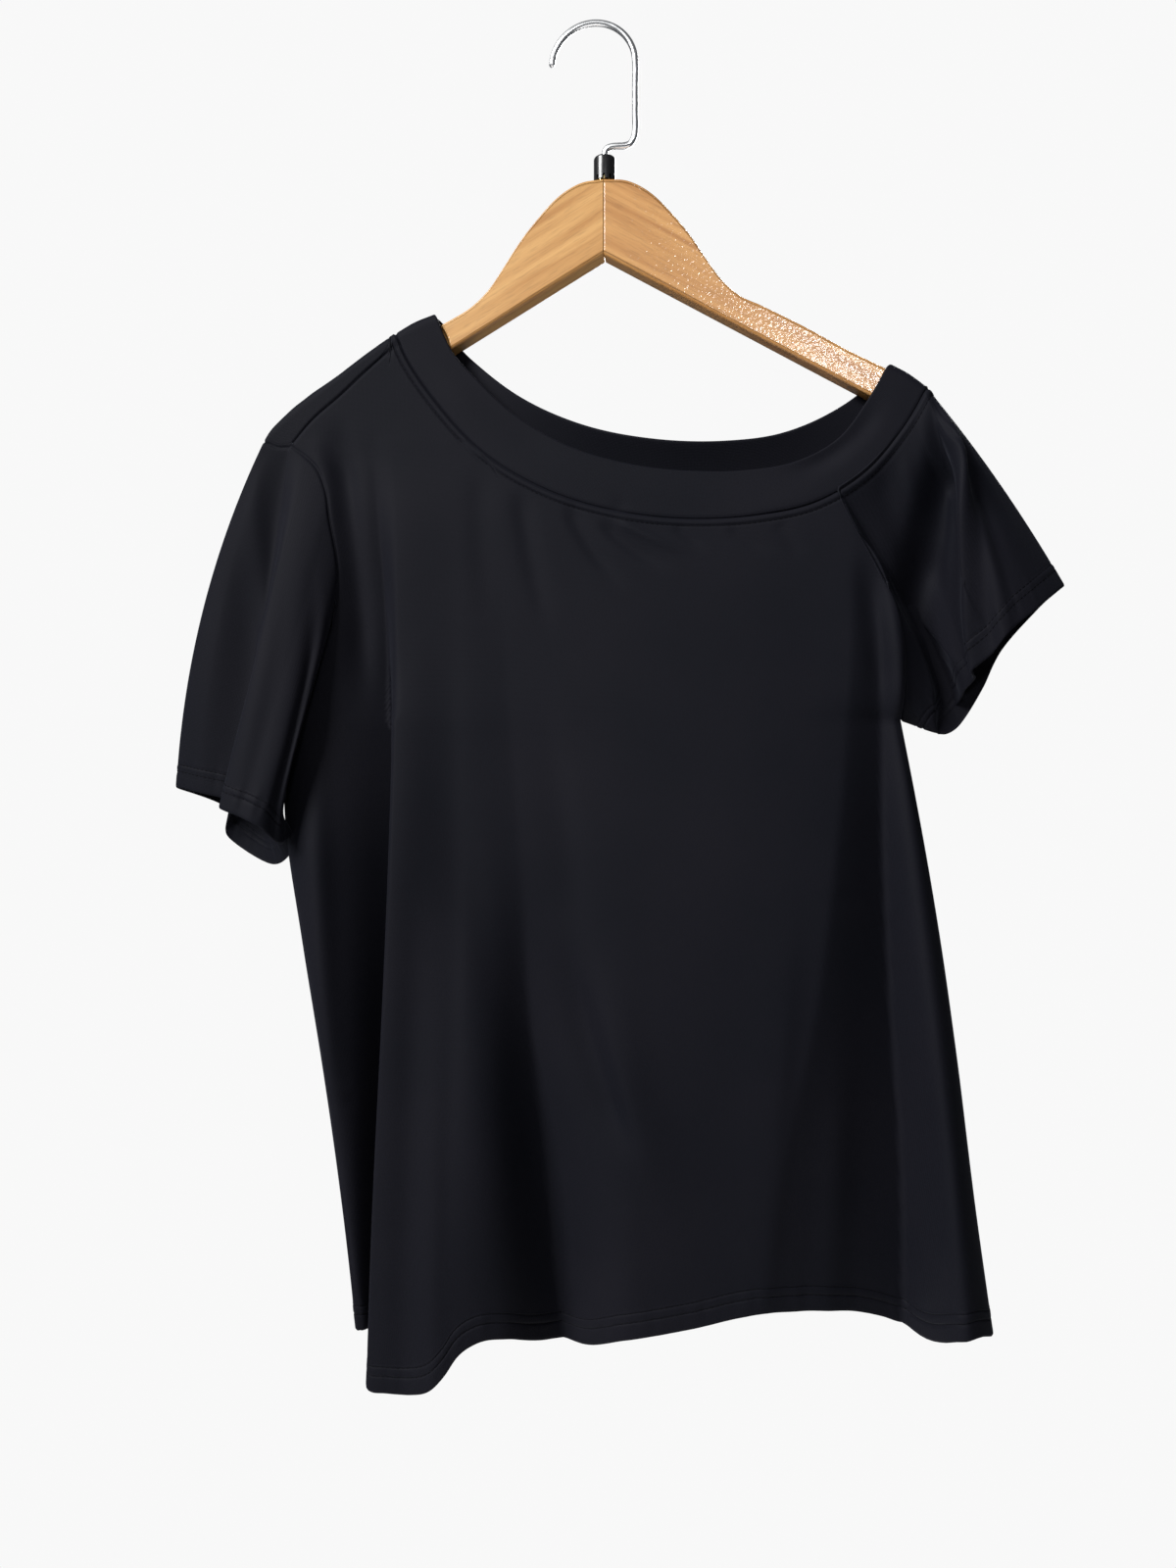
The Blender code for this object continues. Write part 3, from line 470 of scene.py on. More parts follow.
def crease_height(creases, x, z):
    """Sum of the creases: each is a bell across a slightly bowed line, faded in and out along it."""
    total = np.zeros_like(x)
    for x0, z0, x1, z1, bow, height, left_width, right_width, fade_in, fade_out in creases:
        run = math.hypot(x1 - x0, z1 - z0)
        step_x, step_z = (x1 - x0) / run, (z1 - z0) / run
        place = ((x - x0) * step_x + (z - z0) * step_z) / run
        offset = (z - z0) * step_x - (x - x0) * step_z - bow * 4.0 * place * (1.0 - place)
        width = np.where(offset < 0.0, left_width, right_width)
        shown = smooth_step(place, 0.0, max(fade_in, SHORTEST_FADE))
        shown = shown * (1.0 - smooth_step(place, 1.0 - max(fade_out, SHORTEST_FADE), 1.0))
        total += height * shown * np.exp(-((offset / width) ** 2))
    return total


def sheet_y(across, x, z, side):
    """y of the body's front (side -1) or back (side +1), where across runs from -1 at the left
    edge to 1 at the right one: a flat ellipse with blunt ends, which stay open at the armholes,
    plus the folds and creases."""
    table = np.asarray(BODY_DEPTHS)
    row = spline(-table[:, 0], table[:, 1:], -z)
    left_y, right_y, front, back, opening = np.moveaxis(row, -1, 0)
    from_middle = np.abs(across)
    closing = smooth_step(-z, *MIDDLE_ROUNDS) * (1.0 - smooth_step(from_middle, *MIDDLE_TO_EDGE))
    opening = np.clip(opening, 0.0, 1.0) * (1.0 - closing)
    middle = left_y + (right_y - left_y) * (across + 1.0) / 2.0
    blunt = (1.0 - from_middle**SIDE_ROUNDNESS) ** (1.0 / SIDE_ROUNDNESS)
    depth = (front if side < 0 else back) * (opening + (1.0 - opening) * blunt)
    lines, folds, _, creases, hem = FOLDS_OF_SIDE[side]
    hem = np.asarray(hem)
    hem_z = np.interp(x, hem[:, 0], hem[:, 1])
    deep = fold_height(folds, x, z, hem_z) * blunt
    if lines:
        line_ends = (1.0 - from_middle**LINE_END_SHARPNESS) ** LINE_END_POWER
        deep = deep + line_height(lines, x, z) * line_ends
    soft = crease_height(creases, x, z) * smooth_step(blunt, 0.0, CREASES_FULL_FROM)
    return middle + side * (depth + deep + soft)


def roll(across, x, height, side):
    """Point of the cloth from its place on the unrolled sheet: hanging on its own side of the
    arm, on the half ellipse over the arm, or down on the other side."""
    shoulder = crest_z(x) - OVER_ARM_RISE
    hanging_z = np.minimum(height, shoulder)
    hanging_y = sheet_y(across, x, hanging_z, side)
    turn = np.clip((shoulder + OVER_ARM_QUARTER - height) / OVER_ARM_QUARTER, -1.0, 1.0)
    angle = turn * math.pi / 2.0
    y = np.abs(hanging_y) * np.sin(angle) * side
    z = shoulder + OVER_ARM_RISE * np.cos(angle)
    beyond = np.maximum(height - shoulder - 2.0 * OVER_ARM_QUARTER, 0.0)
    z = np.where(height < shoulder, height, z - beyond)
    y = np.where(height < shoulder, hanging_y, y)
    return np.stack([x, y, z], axis=-1)


def band_table(rows):
    """Folded edge and seam of one half of the neckband on the unrolled sheet: x, height, x, height."""
    filled = []
    for edge_at, edge_z, seam_at, seam_z in rows:
        edge_z = float(crest_height(edge_at)) if edge_z is None else edge_z
        seam_z = float(crest_height(seam_at)) if seam_z is None else seam_z
        filled.append((edge_at, edge_z, seam_at, seam_z))
    return np.asarray(filled, float)


def band_half(rows, count):
    """count stations along half of the neckband, each with the four columns of band_table."""
    table = band_table(rows)
    knots = lengths((table[:, :2] + table[:, 2:]) / 2.0)
    return spline(knots, table, np.linspace(0.0, knots[-1], count))


def armhole(table, band_rows):
    """An armhole's table with its first height, where it starts at the neckband's seam."""
    if table[0][1] is not None:
        return np.asarray(table)
    seam = band_half(band_rows, SEAM_STATIONS)[:, 2:]
    height = np.interp(table[0][0], seam[:, 0], seam[:, 1])
    return np.asarray([(table[0][0], height), *table[1:]])


def top_edge(side, band_rows, junction):
    """Top edge of a panel on the unrolled sheet: the shoulder's edge, which lies on the front, then
    the neckband's seam to where the right armhole starts."""
    seam = band_half(band_rows, SEAM_STATIONS)[:, 2:]
    shoulder = [(x, float(crest_height(x)) if z is None else z) for x, z in SHOULDER_EDGE]
    shoulder = along(shoulder, SHOULDER_STATIONS)
    if side > 0:
        shoulder[:, 1] = 2.0 * crest_height(shoulder[:, 0]) - shoulder[:, 1]
    after_shoulder = seam[:, 0] > shoulder[-1, 0] + JUNCTION_GAP
    before_armhole = seam[:, 0] < junction[0] - JUNCTION_GAP
    return np.vstack([shoulder, seam[after_shoulder & before_armhole], junction])


def panel_sheet(side, band_rows, left_line, right_line, hem):
    """A panel's grid as across, x and height on the unrolled sheet. Each column keeps its share of
    the width all the way down; rows follow the top edge first and the hem last."""
    hem = np.asarray(hem)
    width = hem[-1, 0] - hem[0, 0]
    edge = np.asarray(EDGE_COLUMNS)
    even = np.linspace(0.0, 1.0, CROWD_SAMPLES)
    centre, spread, closer = CLOSE_COLUMNS
    crowd = np.cumsum(1.0 + closer * np.exp(-(((even - centre) / spread) ** 2)))
    crowd = (crowd - crowd[0]) / (crowd[-1] - crowd[0])
    shares = np.interp(np.linspace(0.0, 1.0, MIDDLE_COLUMNS), crowd, even)
    middle = edge[-1] + (width - 2.0 * edge[-1]) * shares
    places = np.concatenate([edge[:-1], middle, (width - edge[:-1])[::-1]])
    across = places / width * 2.0 - 1.0
    hem_z = spline(hem[:, 0], hem[:, 1], hem[0, 0] + places)[:, 0]
    top = top_edge(side, band_rows, right_line[0])

    def across_x(height):
        """x of every column at its height, at its share of the way between the two edges."""
        left = edge_x(left_line, SIDE_LEFT, height)
        right = edge_x(right_line, SIDE_RIGHT, height)
        return left + (right - left) * (across + 1.0) / 2.0

    top_z = np.full_like(across, top[:, 1].mean())
    for _ in range(TOP_EDGE_PASSES):
        top_z = 0.5 * top_z + 0.5 * np.interp(across_x(top_z), top[:, 0], top[:, 1])
    below_rows = top_z - TOP_ROWS_DEPTH - TURN_ENDS_BELOW
    turned_end = below_rows
    for _ in range(TOP_EDGE_PASSES):
        below_arm = crest_z(across_x(turned_end)) - OVER_ARM_RISE - TURN_BELOW_ARM
        turned_end = 0.5 * turned_end + 0.5 * np.minimum(below_rows, below_arm)
    close = np.concatenate([TOP_ROWS, np.arange(TOP_ROWS[-1], TOP_ROWS_DEPTH, TOP_ROW_STEP)[1:]])
    levels = [top_z - drop for drop in close]
    for s in np.linspace(0.0, 1.0, OVER_ARM_ROWS + 1)[1:]:
        levels.append(levels[len(close) - 1] * (1.0 - s) + turned_end * s)
    for s in np.linspace(0.0, 1.0, YOKE_ROWS + 1)[1:]:
        levels.append(turned_end + (UNDERARM_Z - turned_end) * s)
    body_end = hem_z + HEM_ROWS[0] + HEM_ROWS_GAP
    for s in np.linspace(0.0, 1.0, BODY_ROWS + 1)[1:]:
        levels.append(UNDERARM_Z + (body_end - UNDERARM_Z) * s)
    levels += [hem_z + rise for rise in HEM_ROWS]
    height = np.asarray(levels)
    return np.broadcast_to(across, height.shape), across_x(height), height


def outward(grid, closed=False):
    """Unit normals of a grid: down the rows crossed with to the right along the columns."""
    wide = np.hstack([grid[:, -2:], grid, grid[:, :2]]) if closed else grid
    down, right = np.gradient(wide, axis=0), np.gradient(wide, axis=1)
    normal = np.cross(down, right)
    normal /= np.maximum(np.linalg.norm(normal, axis=-1, keepdims=True), LEAST_LENGTH)
    return normal[:, 2:-2] if closed else normal


def distance_to(line, grid, reach=12.0):
    """Distance from each point to the nearest stretch of a line, up to a reach."""
    points = grid.reshape(-1, 3)
    best = np.full(len(points), reach)
    low, high = line.min(axis=0) - reach, line.max(axis=0) + reach
    near = np.nonzero(((points > low) & (points < high)).all(axis=1))[0]
    close = points[near]
    shortest = np.full(len(near), reach)
    for start, end in zip(line[:-1], line[1:]):
        run = end - start
        share = np.clip((close - start) @ run / max(run @ run, LEAST_LENGTH), 0.0, 1.0)
        gap = close - start - share[:, None] * run
        shortest = np.minimum(shortest, np.sqrt((gap * gap).sum(axis=1)))
    best[near] = shortest
    return best.reshape(grid.shape[:2])


def seam_relief(distance):
    """The edge of a piece rolls in towards its seam, as a bell of the distance."""
    return -SEAM_ROLL * np.exp(-((distance / SEAM_ROLL_WIDTH) ** 2))


def neck_relief(distance):
    """Beside the neckband: rolled in at the seam, padded by the seam allowance under it, and
    drawn in by the topstitching."""
    falls_from = TOPSTITCH_FROM_SEAM - PADDING_FALLS_OVER
    padded = smooth_step(distance, *PADDING_RISES)
    padded = padded * (1.0 - smooth_step(distance, falls_from, TOPSTITCH_FROM_SEAM))
    stitched = np.exp(-(((distance - TOPSTITCH_FROM_SEAM) / STITCH_DENT_WIDTH) ** 2))
    return seam_relief(distance) + TOPSTITCH_RISE * padded - STITCH_DENT * stitched


def hem_relief(distance, run, rows):
    """Turned hem: raised by the second layer, rounded at the fold, drawn in by each row of the
    twin needle, and slightly waved along its run by three unequal sine waves."""
    ends_from, ends_at = rows[-1] + HEM_ENDS[0], rows[-1] + HEM_ENDS[1]
    raised = HEM_RISE * (1.0 - smooth_step(distance, ends_from, ends_at))
    folded = -HEM_ROUNDING * (1.0 - smooth_step(distance, 0.0, HEM_ROUNDED_OVER))
    dents = sum(np.exp(-(((distance - row) / STITCH_DENT_WIDTH) ** 2)) for row in rows)
    wave = sum(height * np.sin(run * rate + start) for rate, height, start in HEM_WAVES)
    near = np.exp(-(((distance - rows[0]) / HEM_WAVE_REACH) ** 2))
    return raised + folded - STITCH_DENT * dents + HEM_WAVE_HEIGHT * wave * near


def up_from_hem(grid):
    """Length up each column from the last row."""
    steps = np.linalg.norm(np.diff(grid, axis=0), axis=-1)
    return np.vstack([np.cumsum(steps[::-1], axis=0)[::-1], np.zeros((1, grid.shape[1]))])


def point_numbers(rows, columns, closed_across=False, closed_down=False):
    """Numbers of a grid's points, with the first column or row again at the end where it closes."""
    index = np.arange(rows * columns).reshape(rows, columns)
    if closed_across:
        index = np.hstack([index, index[:, :1]])
    if closed_down:
        index = np.vstack([index, index[:1]])
    return index


def cell_corners(grid):
    """The four corners of every cell of a grid: its own point, the one below, the one below to
    the right, and the one to the right."""
    return np.stack([grid[:-1, :-1], grid[1:, :-1], grid[1:, 1:], grid[:-1, 1:]], axis=2)


def new_piece(name, points, faces, finish):
    """A piece of the object from its points in millimetres and the faces between them."""
    mesh = bpy.data.meshes.new(name)
    mesh.from_pydata((points.reshape(-1, 3) * MM).tolist(), [], faces)
    piece = bpy.data.objects.new(name, mesh)
    bpy.context.scene.collection.objects.link(piece)
    piece.data.materials.append(finish)
    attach(piece, "root")
    return piece


def lay_flat(piece, across, down):
    """The cloth's own plane, in metres, as the piece's UV map."""
    flat = np.stack(np.broadcast_arrays(across, down), axis=-1) * MM
    layer = piece.data.uv_layers.new(name="cloth")
    layer.data.foreach_set("uv", cell_corners(flat).reshape(-1).astype(np.float32))


def cloth_piece(name, grid, flat_across, flat_down, closed=False):
    """A cloth wall from a grid of points on its outer face; rows go down, columns to the right as
    seen from outside."""
    rows, columns, _ = grid.shape
    faces = cell_corners(point_numbers(rows, columns, closed_across=closed)).reshape(-1, 4)
    across, down = np.broadcast_arrays(flat_across, flat_down)
    if closed:
        across = np.hstack([across, 2.0 * across[:, -1:] - across[:, -2:-1]])
        down = np.hstack([down, down[:, :1]])
    piece = new_piece(name, grid, faces.tolist(), jersey)
    piece.data.shade_smooth()
    lay_flat(piece, across, down)
    wall = piece.modifiers.new("Wall", "SOLIDIFY")
    wall.thickness = JERSEY_THICKNESS * MM
    wall.offset = -1.0
    return piece


def new_material(name):
    """A material with its node tree and its shader."""
    made = bpy.data.materials.new(name)
    made.use_nodes = True
    return made, made.node_tree, made.node_tree.nodes["Principled BSDF"]


def add_node(tree, kind, **values):
    """A node of a kind with the values of its sockets, whose names have _ for a space."""
    node = tree.nodes.new(kind)
    for socket, value in values.items():
        node.inputs[socket.replace("_", " ")].default_value = value
    return node


def noise(tree, vector, scale, detail=2.0, distortion=0.0):
    """Soft random clouds over a vector."""
    clouds = add_node(
        tree, "ShaderNodeTexNoise", Scale=scale, Detail=detail, Distortion=distortion
    )
    tree.links.new(vector, clouds.inputs["Vector"])
    return clouds.outputs["Fac"]


def tones(tree, value, dark, light, low=0.0, high=1.0):
    """Colour between two tones, dark up to the low value and light from the high one."""
    ramp = tree.nodes.new("ShaderNodeValToRGB")
    first, last = ramp.color_ramp.elements
    first.position = low
    first.color = (*dark, 1.0)
    last.position = high
    last.color = (*light, 1.0)
    tree.links.new(value, ramp.inputs["Fac"])
    return ramp.outputs["Color"]


def ranged(tree, value, to_low, to_high, from_low=0.0, from_high=1.0):
    """A value carried evenly from one range to another."""
    node = add_node(
        tree, "ShaderNodeMapRange",
        From_Min=from_low, From_Max=from_high, To_Min=to_low, To_Max=to_high,
    )
    tree.links.new(value, node.inputs["Value"])
    return node.outputs["Result"]


def shaded(tree, colour, share):
    """A colour multiplied by a share."""
    node = tree.nodes.new("ShaderNodeMix")
    node.data_type = "RGBA"
    node.blend_type = "MULTIPLY"
    node.inputs["Factor"].default_value = 1.0
    tree.links.new(colour, node.inputs["A"])
    tree.links.new(share, node.inputs["B"])
    return node.outputs["Result"]


def bump(tree, height, strength, distance):
    """A bump node over a height; its socket Normal takes an earlier bump."""
    node = add_node(tree, "ShaderNodeBump", Strength=strength, Distance=distance)
    tree.links.new(height, node.inputs["Height"])
    return node


def knit_bands(tree, vector, direction, scale, distortion, detail):
    """Even bands across the cloth: its columns or its rows of stitches."""
    node = add_node(tree, "ShaderNodeTexWave", Scale=scale, Distortion=distortion, Detail=detail)
    node.wave_type = "BANDS"
    node.bands_direction = direction
    tree.links.new(vector, node.inputs["Vector"])
    return node.outputs["Fac"]


JERSEY_DARK = (0.0038, 0.0041, 0.0068)
JERSEY_LIGHT = (0.0053, 0.0052, 0.0082)
JERSEY_SHEEN = (0.62, 0.66, 0.85, 1.0)


def jersey_material():
    """Near-black cotton jersey: a cold dark colour that varies softly, with columns of knit
    stitches and short fibres in the bump, and the pale sheen of brushed cotton."""
    made, tree, shader = new_material("Heavy_jersey")
    shader.inputs["Roughness"].default_value = 0.7
    shader.inputs["Specular IOR Level"].default_value = 0.08
    shader.inputs["Sheen Weight"].default_value = 0.03
    shader.inputs["Sheen Roughness"].default_value = 0.42
    shader.inputs["Sheen Tint"].default_value = JERSEY_SHEEN
    place = tree.nodes.new("ShaderNodeTexCoord").outputs["Object"]
    cloud = noise(tree, place, scale=9.0, detail=3.0)
    dye = tones(tree, cloud, JERSEY_DARK, JERSEY_LIGHT, low=0.35, high=0.68)

    cloth = tree.nodes.new("ShaderNodeUVMap")
    cloth.uv_map = "cloth"
    flat = cloth.outputs["UV"]
    fibre = noise(tree, flat, scale=1400.0)
    lint = ranged(tree, fibre, to_low=0.8, to_high=1.25, from_low=0.3, from_high=0.7)
    tree.links.new(shaded(tree, dye, lint), shader.inputs["Base Color"])

    wales = knit_bands(tree, flat, "X", scale=345.0, distortion=0.6, detail=1.0)
    courses = knit_bands(tree, flat, "Y", scale=420.0, distortion=0.8, detail=2.0)
    knit = tree.nodes.new("ShaderNodeMath")
    knit.operation = "MULTIPLY"
    tree.links.new(wales, knit.inputs[0])
    tree.links.new(courses, knit.inputs[1])
    stitch_bump = bump(tree, knit.outputs["Value"], strength=0.35, distance=0.00018)
    fibre_bump = bump(tree, fibre, strength=0.3, distance=0.00015)
    tree.links.new(stitch_bump.outputs["Normal"], fibre_bump.inputs["Normal"])
    tree.links.new(fibre_bump.outputs["Normal"], shader.inputs["Normal"])
    return made


def panel(name, side, band_rows, left_line, right_line, hem, seams):
    """A panel with its relief: seams, topstitched neck edge and turned hem, all moved along the
    outward normal. Returns the piece, the grid, its normals and its distances from neck and hem."""
    across, x, height = panel_sheet(side, band_rows, left_line, right_line, hem)
    grid = roll(across, x, height, side)
    hem_table = np.asarray(hem)
    hem_z = np.interp(x, hem_table[:, 0], hem_table[:, 1])
    _, _, leans, _, _ = FOLDS_OF_SIDE[side]
    grid[..., 0] += fold_height(leans, x, height, hem_z)
    if side > 0:
        grid, across, x, height = grid[:, ::-1], across[:, ::-1], x[:, ::-1], height[:, ::-1]
    normal = outward(grid)
    from_neck = distance_to(neck_seam, grid)
    relief = neck_relief(from_neck)
    for line in seams:
        relief += seam_relief(distance_to(line, grid))
    from_hem = up_from_hem(grid)
    relief += hem_relief(from_hem, x, HEM_STITCHES)
    grid = grid + normal * relief[..., None]
    width = np.abs(hem[-1][0] - hem[0][0])
    piece = cloth_piece(name, grid, across * width / 2.0, height)
    return piece, grid, normal, from_neck, from_hem


# Back half of the neckband, on which the front's seams end: folded edge x, z, then seam x, z
BAND_BACK = (
    (-101.0, None, -126.0, None),
    (-86.0, -194.0, -112.0, -208.0),
    (-72.0, -208.0, -93.0, -229.0),
    (-45.0, -229.0, -60.0, -254.0),
    (-5.0, -248.0, -14.0, -276.0),
    (40.0, -258.0, 37.0, -287.0),
    (80.0, -260.0, 83.0, -289.0),
    (115.0, -256.0, 126.0, -283.0),
    (143.0, -245.0, 161.0, -268.0),
    (163.0, -232.0, 185.0, -250.0),
    (182.0, None, 204.0, None),
)

# Hem of the back: x, z
BACK_HEM = (
    (-148.0, -816.0),
    (-90.0, -814.0),
    (0.0, -806.0),
    (110.0, -798.0),
    (240.0, -796.0),
)

# Folds of the back: z and x at the start, x at the hem, height there, left and right half width
BACK_FOLDS = (
    (-400.0, -120.0, -100.0, 13.0, 26.0, 30.0),
    (-470.0, -60.0, -42.0, -11.0, 26.0, 26.0),
    (-380.0, 25.0, 28.0, 12.0, 34.0, 36.0),
    (-500.0, 90.0, 98.0, -12.0, 26.0, 26.0),
    (-420.0, 150.0, 168.0, 13.0, 28.0, 26.0),
)

# Creases of the back, with the front's columns
BACK_CREASES = (
    (-150.0, -340.0, -132.0, -700.0, 3.0, -4.0, 8.0, 12.0, 0.4, 0.4),
    (-84.0, -330.0, -70.0, -560.0, -4.0, -2.0, 11.0, 9.0, 0.4, 0.5),
    (-20.0, -300.0, -46.0, -470.0, 3.0, -1.5, 7.0, 9.0, 0.2, 0.6),
    (-6.0, -520.0, 10.0, -850.0, 6.0, 3.0, 12.0, 15.0, 0.5, 0.0),
    (52.0, -300.0, 66.0, -420.0, 2.0, -1.4, 5.0, 7.0, 0.2, 0.6),
    (78.0, -430.0, 62.0, -850.0, -5.0, -5.0, 14.0, 11.0, 0.5, 0.0),
    (120.0, -300.0, 142.0, -520.0, -4.0, -2.4, 8.0, 11.0, 0.3, 0.5),
    (174.0, -380.0, 196.0, -640.0, 4.0, -4.0, 9.0, 7.0, 0.4, 0.4),
    (-36.0, -600.0, -14.0, -716.0, 3.0, -2.6, 7.0, 5.0, 0.4, 0.4),
)

# Lines, folds, leans, creases and hem of the front (-1) and the back (1)
FOLDS_OF_SIDE = {
    -1: (FRONT_LINES, (), FRONT_LEANS, FRONT_CREASES, FRONT_HEM),
    1: ((), BACK_FOLDS, (), BACK_CREASES, BACK_HEM),
}

# Points along each seam, and where the side seams are taken to end
NECK_SEAM_POINTS = 160
ARMHOLE_POINTS = 90
SHOULDER_SEAM_POINTS = 50
SIDE_SEAM_POINTS = 60
SIDE_SEAM_END_Z = -836.0

jersey = jersey_material()
front_left = armhole(FRONT_ARMHOLE_LEFT, BAND_FRONT)
front_right = armhole(FRONT_ARMHOLE_RIGHT, BAND_FRONT)


def body_across(x, z):
    """Share of the body's width at a height, from -1 at the left edge to 1 at the right one."""
    left = edge_x(front_left, SIDE_LEFT, z)
    right = edge_x(front_right, SIDE_RIGHT, z)
    return np.clip((x - left) / (right - left) * 2.0 - 1.0, -1.0, 1.0)


def on_body(points, side):
    """Points of the unrolled sheet, x and height, on the hanging cloth."""
    x, height = np.asarray(points, float).T
    return roll(body_across(x, height), x, height, side)


def armhole_seam(table, side, across):
    """Points down a panel's own armhole edge, from its top to the underarm."""
    height = np.linspace(table[0][1], UNDERARM_Z, ARMHOLE_POINTS)
    x = edge_x(table, SIDE_LEFT, height)
    return roll(np.full_like(x, across), x, height, side)


neck_front = on_body(band_half(BAND_FRONT, NECK_SEAM_POINTS)[:, 2:], -1)
neck_back = on_body(band_half(BAND_BACK, NECK_SEAM_POINTS)[:, 2:], 1)
neck_seam = np.vstack([neck_front, neck_back[::-1]])
shoulder_seam = on_body(along(SHOULDER_LINE, SHOULDER_SEAM_POINTS), -1)
front_left_seam = armhole_seam(front_left, -1, -1.0)
front_right_seam = armhole_seam(front_right, -1, 1.0)
side_places = np.linspace(UNDERARM_Z, SIDE_SEAM_END_Z, SIDE_SEAM_POINTS)
left_side_x = edge_x(front_left, SIDE_LEFT, side_places) + SIDE_SEAM_FROM_EDGE
right_side_x = edge_x(front_right, SIDE_RIGHT, side_places) - SIDE_SEAM_FROM_EDGE
left_side_seam = on_body(np.stack([left_side_x, side_places], axis=1), -1)
right_side_seam = on_body(np.stack([right_side_x, side_places], axis=1), -1)

front_seams = (shoulder_seam, front_left_seam, front_right_seam, left_side_seam, right_side_seam)
front, front_grid, front_normal, front_from_neck, front_from_hem = panel(
    "front_panel", -1, BAND_FRONT, front_left, front_right, FRONT_HEM, front_seams
)
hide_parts("front")


# Back panel
# The back is cut like the front but higher at the neck. Its shoulder comes over the hanger's arm
# and forward to the shoulder seam, so that a strip of it shows from the front.

BACK_ARMHOLE_LEFT = (
    (-191.0, -192.0),
    (-203.0, -216.0),
    (-209.0, -245.0),
    (-200.0, -266.0),
    (-186.0, -290.0),
    (-174.0, -325.0),
    (-172.0, -360.0),
    (-184.0, -402.0),
    (-203.0, UNDERARM_Z),
)
BACK_ARMHOLE_RIGHT = (
    (149.0, None),
    (160.0, -300.0),
    (172.0, -335.0),
    (182.0, -365.0),
    (187.0, -400.0),
    (187.0, UNDERARM_Z),
)

back_left = armhole(BACK_ARMHOLE_LEFT, BAND_BACK)
back_right = armhole(BACK_ARMHOLE_RIGHT, BAND_BACK)
back_left_seam = armhole_seam(back_left, 1, -1.0)
back_right_seam = armhole_seam(back_right, 1, 1.0)
back, back_grid, back_normal, back_from_neck, back_from_hem = panel(
    "back_panel", 1, BAND_BACK, back_left, back_right, BACK_HEM,
    (shoulder_seam, back_left_seam, back_right_seam),
)
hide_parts("back")


# Left sleeve
# A plain short sleeve set into the armhole, which hangs off the end of the hanger in one sharp
# front fold. Its hem is turned up and sewn with the twin needle as on the body.

# The grid: columns round the sleeve, rows near the armhole as shares of the sleeve's length, rows
# down the sleeve, and rows at the hem as heights above its fold
SLEEVE_COLUMNS = 300
SLEEVE_TOP_ROWS = (-0.008, -0.004, 0.0, 0.003, 0.007, 0.012, 0.018, 0.026, 0.036)
SLEEVE_ROWS = 66
SLEEVE_HEM_ROWS = (
    (17.5, 16.6, 16.1, 15.6, 15.2, 14.8, 14.4, 13.8, 12.6, 11.8)
    + (11.3, 10.9, 10.6, 10.2, 9.6, 8.0, 6.0, 4.0, 2.4, 1.2, 0.5, 0.0)
)
SLEEVE_STITCHES = (11.0, 15.2)

# Shares of a crease's length over which it fades in and out
CREASE_FADES_IN = (0.0, 0.3)
CREASE_FADES_OUT = (0.9, 1.2)

# Each row is a line down the sleeve: where it leaves the armhole (0 and 1 are the underarm, going
# up the front), its place at the hem x, y, z, and how far it bows out on its way x, y, z
LEFT_SLEEVE = (
    (0.00, -190.0, -6.0, -503.0, -12.0, -3.0, 0.0),
    (0.10, -194.0, -21.0, -508.0, 0.0, -8.0, 0.0),
    (0.20, -203.0, -31.0, -498.0, 3.0, -4.0, 0.0),
    (0.32, -215.0, -32.0, -492.0, 2.0, -3.0, 0.0),
    (0.43, -229.0, -24.0, -487.0, 1.0, -6.0, 0.0),
    (0.465, -231.0, 0.0, -483.0, 0.0, 4.0, 2.0),
    (0.49, -258.0, 4.0, -477.0, -9.0, -1.0, 4.0),
    (0.51, -277.0, 14.0, -474.0, -12.0, 2.0, 5.0),
    (0.55, -247.0, 22.0, -487.0, -14.0, 7.0, 2.0),
    (0.68, -249.0, 30.0, -507.0, 0.0, 4.0, 0.0),
    (0.82, -219.0, 26.0, -524.0, -20.0, 6.0, 0.0),
    (0.92, -199.0, 9.0, -518.0, -22.0, 4.0, 0.0),
)

# Creases on the sleeve: share down it where each starts and ends, its share round the sleeve
# there and half way between, height, and half width as a share round it
LEFT_SLEEVE_CREASES = (
    (0.02, 1.15, 0.520, 0.400, 0.335, 3.0, 0.030),
    (0.20, 1.15, 0.330, 0.275, 0.240, -1.2, 0.035),
    (0.15, 0.95, 0.230, 0.170, 0.120, -3.0, 0.030),
    (0.10, 1.15, 0.640, 0.650, 0.660, -2.0, 0.030),
    (0.20, 1.15, 0.760, 0.770, 0.780, 2.0, 0.035),
)


def ring_spline(values, at):
    """The smooth curve through a closed ring of evenly numbered values; at runs from 0 to 1."""
    values = np.asarray(values, float)
    knots = np.arange(-2, len(values) + 3)
    return spline(knots, values[knots % len(values)], np.asarray(at) * len(values))


def straight_between(knots, values, at):
    """Values at places along the knots, each column in straight lines from knot to knot."""
    return np.stack([np.interp(at, knots, column) for column in values.T], axis=-1)


def at_fraction(points, fractions):
    """Points of a line at fractions of its length."""
    knots = lengths(points)
    return straight_between(knots, points, np.asarray(fractions) * knots[-1])


